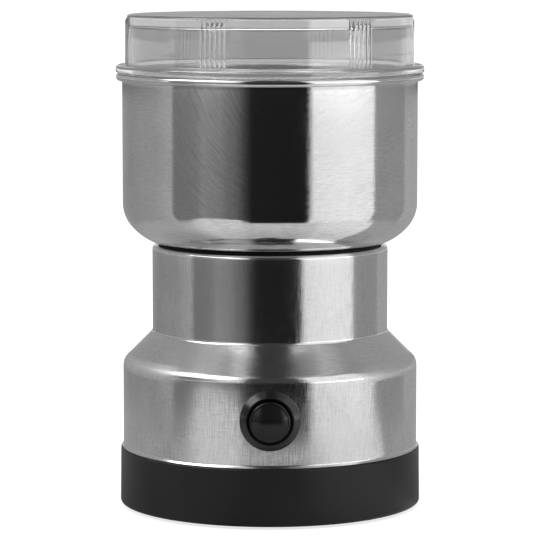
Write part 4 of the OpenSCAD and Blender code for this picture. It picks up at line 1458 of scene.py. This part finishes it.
@dataclass(frozen=True)
class Studio:
    """Pale table, soft lamps, a room for the steel to mirror, and the camera.

    Lengths are metres here. Degrees run round Z from 0 on the camera's side, growing to the right.

    Attributes:
        lens: focal length, for a sensor 36 mm wide.
        pitch_down: how many degrees the camera looks down.
        aim: the point that the lamps shine at.
        clear_view: tone of the room through clear plastic, where it is white.
        dim_view: least tone of the room through clear plastic.
        horizon: the room's lowest tones, by degrees.
        middle: its tones above them, by degrees.
        overhead: its tones above those, by the X of a ray of length 1.
        near_table: tones of the table that metal mirrors, by degrees.
    """

    lens: float = 197.99
    camera_y: float = -0.9985
    camera_z: float = 0.1907
    pitch_down: float = 6.36
    aim: tuple[float, float, float] = (0.0, 0.0, 0.09)
    table_front: float = -0.29
    table_far: float = 30.0
    clear_view: float = 0.95
    dim_view: float = 0.12
    horizon: Tones = (
        (-180.0, 0.36), (-140.0, 0.30), (-100.0, 0.35), (-82.0, 0.44), (-80.0, 0.195),
        (-57.0, 0.225), (-54.0, 0.285), (-38.0, 0.235), (-33.0, 0.175), (-28.0, 0.155),
        (-24.0, 0.115), (-19.0, 0.05), (-14.0, 0.015), (29.0, 0.012), (33.5, 0.92), (60.0, 1.04),
        (87.0, 1.04), (89.0, 0.33), (127.0, 0.33), (131.0, 0.45), (180.0, 0.36),
    )
    middle: Tones = (
        (-180.0, 0.40), (-84.0, 0.42), (-77.0, 0.22), (-65.0, 0.24), (-54.0, 0.34),
        (-44.0, 0.62), (-34.0, 1.0), (-25.0, 0.9), (-19.0, 0.06), (25.0, 0.06), (31.0, 1.15),
        (86.0, 1.15), (89.0, 0.38), (180.0, 0.40),
    )
    overhead: Tones = (
        (-1.0, 0.42), (-0.60, 0.38), (-0.50, 0.52), (-0.42, 0.57), (-0.36, 0.38), (-0.32, 0.45),
        (-0.28, 0.68), (-0.22, 0.62), (-0.16, 0.16), (-0.10, 0.04), (0.14, 0.05), (0.24, 0.24),
        (0.35, 0.36), (0.43, 0.60), (0.50, 0.50), (0.56, 0.34), (0.68, 0.50), (1.0, 0.50),
    )
    near_table: Tones = (
        (-180.0, 0.38), (-86.0, 0.42), (-78.0, 0.42), (-66.0, 0.50), (-48.0, 0.76),
        (-25.0, 0.74), (-15.0, 0.60), (20.0, 0.60), (33.0, 0.66), (42.0, 0.85), (84.0, 0.92),
        (87.0, 0.42), (180.0, 0.40),
    )

    @staticmethod
    def turn(east: Wire, north: Wire) -> Wire:
        """Angle round Z from the camera's side, as 0 to 1 over -180 to 180 degrees."""
        return east.math("ARCTAN2", -north) / (2 * math.pi) + 0.5

    @staticmethod
    def sector(turn: Wire, rise: tuple[float, float], fall: tuple[float, float]) -> Wire:
        """1 from the end of rise to the start of fall, both in degrees, and 0 outside them."""
        return turn.within(*(tuple(x / 360 + 0.5 for x in pair) for pair in (rise, fall)))

    @staticmethod
    def band(turn: Wire, tones: Tones) -> Wire:
        """Tones by angle."""
        return turn.graph.ramp(turn, [(degrees / 360 + 0.5, tone) for degrees, tone in tones])

    @staticmethod
    def straight(graph: Graph) -> Wire:
        """Picks what the camera sees straight or through clear plastic, with no mirror between.

        Args:
            graph: the tree of the world or of a material.

        Returns:
            1 for such rays, 0 for others.
        """
        kinds = ("Is Camera Ray", "Is Transmission Ray", "Glossy Depth")
        camera, through, mirrors = (graph.light_path(kind) for kind in kinds)
        return camera.math("MAXIMUM", through * mirrors.math("LESS_THAN", 0.5))

    @staticmethod
    def softbox(turn: Wire, up: Wire) -> Wire:
        """Lights the room's lowest part in a level core with a dark bar under it.

        The core reaches up less at the sides and behind than in front, and is weaker behind.

        Args:
            turn: the ray's angle round Z, from 0 to 1.
            up: the ray's Z.

        Returns:
            A factor for the horizon's tones.
        """
        beside = abs(turn - 0.5).between(0.235, 0.25)
        behind = abs(turn - 0.5).between(0.37, 0.42)
        top = up.between(0.08, 0.04) * (1 - beside) + up.between(0.03, -0.01) * beside
        core = up.between(-0.0408, -0.0365) * top
        bar = up.within((-0.0525, -0.0495), (-0.0425, -0.0408))
        return core * (2.3 - behind * 0.9) + 1.0 - bar * 0.5

    def room(self, graph: Graph) -> Wire:
        """Tones of the room, by the ray's direction.

        Below 4 degrees the horizon shows, above 7 the middle band, and above about 50 the
        overhead. A light panel stands low at the back, and a bright window high at the left.
        Through clear plastic the room is white beyond the grinder's sides and where a ray has
        crossed no more than one wall, and nowhere black.

        Args:
            graph: the world's tree.

        Returns:
            The tone.
        """
        ray = graph.coordinates("Generated")
        east, north, up = (graph.axis(ray, i) for i in range(3))
        turn = self.turn(east, north)
        low = self.band(turn, self.horizon) * self.softbox(turn, up)
        middle = self.band(turn, self.middle)
        top = graph.ramp(east * 0.5 + 0.5, [(x / 2 + 0.5, tone) for x, tone in self.overhead])
        panel = abs(east).between(0.24, 0.14) * north.between(0.0, 0.1)
        panel = panel * up.within((0.05, 0.08), (0.15, 0.2))
        over, aloft = up.between(0.07, 0.13), up.between(0.7, 0.82)
        room = (low * (1 - over) + middle * over) * (1 - aloft) + top * aloft + panel * 0.55
        aside = 1 - self.sector(turn, (-91.6, -84.4), (88.4, 95.6))
        through = graph.light_path("Is Transmission Ray")
        passes = graph.light_path("Transmission Depth")
        room = room + through * aside * (self.clear_view - room)
        room = room.math("MAXIMUM", through * self.dim_view)
        few = passes.math("LESS_THAN", 2.5)
        room = room.math("MAXIMUM", through * few * self.clear_view)
        window = self.sector(turn, (-104.0, -92.0), (-48.0, -25.0))
        return room + window * up.within((0.42, 0.55), (0.76, 0.86)) * 3.6

    def sky(self) -> None:
        """World: white to the camera and through clear plastic, the room to the metal."""
        world = bpy.data.worlds.new("studio_room")
        bpy.context.scene.world = world
        world.use_nodes = True
        world.cycles.sampling_method = "NONE"
        graph = Graph(world.node_tree)
        room = self.room(graph)
        diffuse = graph.light_path("Is Diffuse Ray")
        mirrored, plain, white = (
            graph.add("ShaderNodeBackground", {}, {"Color": colour, "Strength": 1.0})
            for colour in (room, (0.55, 0.55, 0.55, 1), (1, 1, 1, 1))
        )
        lit = graph.add("ShaderNodeMixShader", {}, [diffuse, mirrored, plain])
        seen = graph.add("ShaderNodeMixShader", {}, [self.straight(graph), lit, white])
        graph.add("ShaderNodeOutputWorld", {}, [seen])

    def paint(self) -> bpy.types.Material:
        """Table top's paint: white to the camera, with a soft shadow, and a glow to the metal.

        Metal mirrors the glow only near the grinder, farther out at its front left and less far
        straight ahead. Beyond that it mirrors the room instead.

        Returns:
            The material.
        """
        material = bpy.data.materials.new("pale_table")
        material.use_nodes = True
        graph = Graph(material.node_tree)
        place = graph.coordinates()
        east, north = (graph.axis(place, i) for i in range(2))
        away = graph.vector("LENGTH", place, output="Value")
        turn = self.turn(east, north)
        glow = self.band(turn, self.near_table) * (away.between(0.05, 0.15) * 0.25 + 0.75)
        front_left = self.sector(turn, (-64.8, -50.4), (-25.2, -18.0))
        ahead = self.sector(turn, (-18.0, -12.6), (27.0, 32.4)) * away.between(0.2, 0.24)
        beyond = (away - front_left * 0.12 + ahead * 0.07).between(0.18, 0.31)
        straight = self.straight(graph)
        glossy = graph.light_path("Is Glossy Ray")
        matt = graph.add("ShaderNodeBsdfDiffuse", {}, {"Color": (0.3, 0.3, 0.3, 1)})
        lit = straight * (away.between(0.1, 0.6) * 0.3 + 0.76)
        white = graph.add("ShaderNodeEmission", {}, {"Strength": lit})
        seen = graph.add("ShaderNodeAddShader", {}, [matt, white])
        bright = graph.add("ShaderNodeEmission", {}, {"Strength": glow})
        clear = graph.add("ShaderNodeBsdfTransparent")
        mirrored = graph.add("ShaderNodeMixShader", {}, [beyond, bright, clear])
        surface = graph.add("ShaderNodeMixShader", {}, [glossy * (1 - straight), seen, mirrored])
        graph.add("ShaderNodeOutputMaterial", {}, [surface])
        return material

    def table(self) -> None:
        """Flat table top that ends in front of the grinder and runs far back and to the sides."""
        front, far = self.table_front, self.table_far
        mesh = bpy.data.meshes.new("table_top")
        rim = [(-far, front, 0.0), (far, front, 0.0), (far, far, 0.0), (-far, far, 0.0)]
        mesh.from_pydata(rim, [], [(0, 1, 2, 3)])
        top = bpy.data.objects.new("table_top", mesh)
        bpy.context.scene.collection.objects.link(top)
        mesh.materials.append(self.paint())

    def lamp(self, name: str, at: Sequence[float], size: float, watts: float) -> None:
        """Square soft lamp aimed at the grinder's middle, unseen in mirrors.

        Args:
            name: the lamp's name.
            at: where it hangs, in metres.
            size: its side, in metres.
            watts: its power.
        """
        light = bpy.data.lights.new(name, "AREA")
        light.size, light.energy = size, watts
        holder = bpy.data.objects.new(name, light)
        bpy.context.scene.collection.objects.link(holder)
        holder.location = at
        aim = np.array(self.aim) - np.array(at)
        yaw = math.atan2(aim[0], -aim[1])
        tilt = math.atan2(math.hypot(aim[0], aim[1]), -aim[2])
        holder.rotation_euler = (tilt, 0.0, math.pi + yaw)
        holder.visible_glossy = False

    def camera(self) -> None:
        """Long lens at the height of the lid, tilted a little down."""
        data = bpy.data.cameras.new("front_camera")
        data.sensor_width, data.lens = 36.0, self.lens
        data.clip_start, data.clip_end = 0.05, 20.0
        camera = bpy.data.objects.new("front_camera", data)
        bpy.context.scene.collection.objects.link(camera)
        camera.location = (0.0, self.camera_y, self.camera_z)
        camera.rotation_euler = (math.radians(90.0 - self.pitch_down), 0.0, 0.0)
        bpy.context.scene.camera = camera

    def build(self) -> None:
        """Sets the stage and the plain colour transform."""
        self.camera()
        self.sky()
        self.table()
        self.lamp("key_left", (-0.55, -0.6, 0.75), 0.6, 7.0)
        self.lamp("fill_right", (0.65, -0.45, 0.6), 0.6, 5.0)
        self.lamp("top", (0.0, 0.15, 0.95), 0.7, 6.0)
        bpy.context.scene.view_settings.view_transform = "Standard"


def dress(nodes: dict[str, bpy.types.Object]) -> None:
    """Gives every carried-over solid its finish.

    Args:
        nodes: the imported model's objects by name.
    """
    for name, finish in CARRIED.items():
        thing = nodes[name]
        thing.data.materials.clear()
        thing.data.materials.append(finish.material())
        LOG.info("%s carries %s", name, finish.name)


def corners(box: tuple[Any, Any]) -> list[list[float]]:
    """A box's two corners as plain lists."""
    return [[float(x) for x in corner] for corner in box]


def main() -> None:
    """Builds the stage and each sub-assembly in order."""
    logging.basicConfig(level=logging.INFO, format="%(name)s: %(message)s")
    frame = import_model()
    Studio().build()
    for part in (Lid(), Bowl(), BodyShell(), PushButton(), Blade()):
        part.build()
    dress(frame["nodes"])
    bpy.context.view_layer.update()


if __name__ == "__main__":
    main()
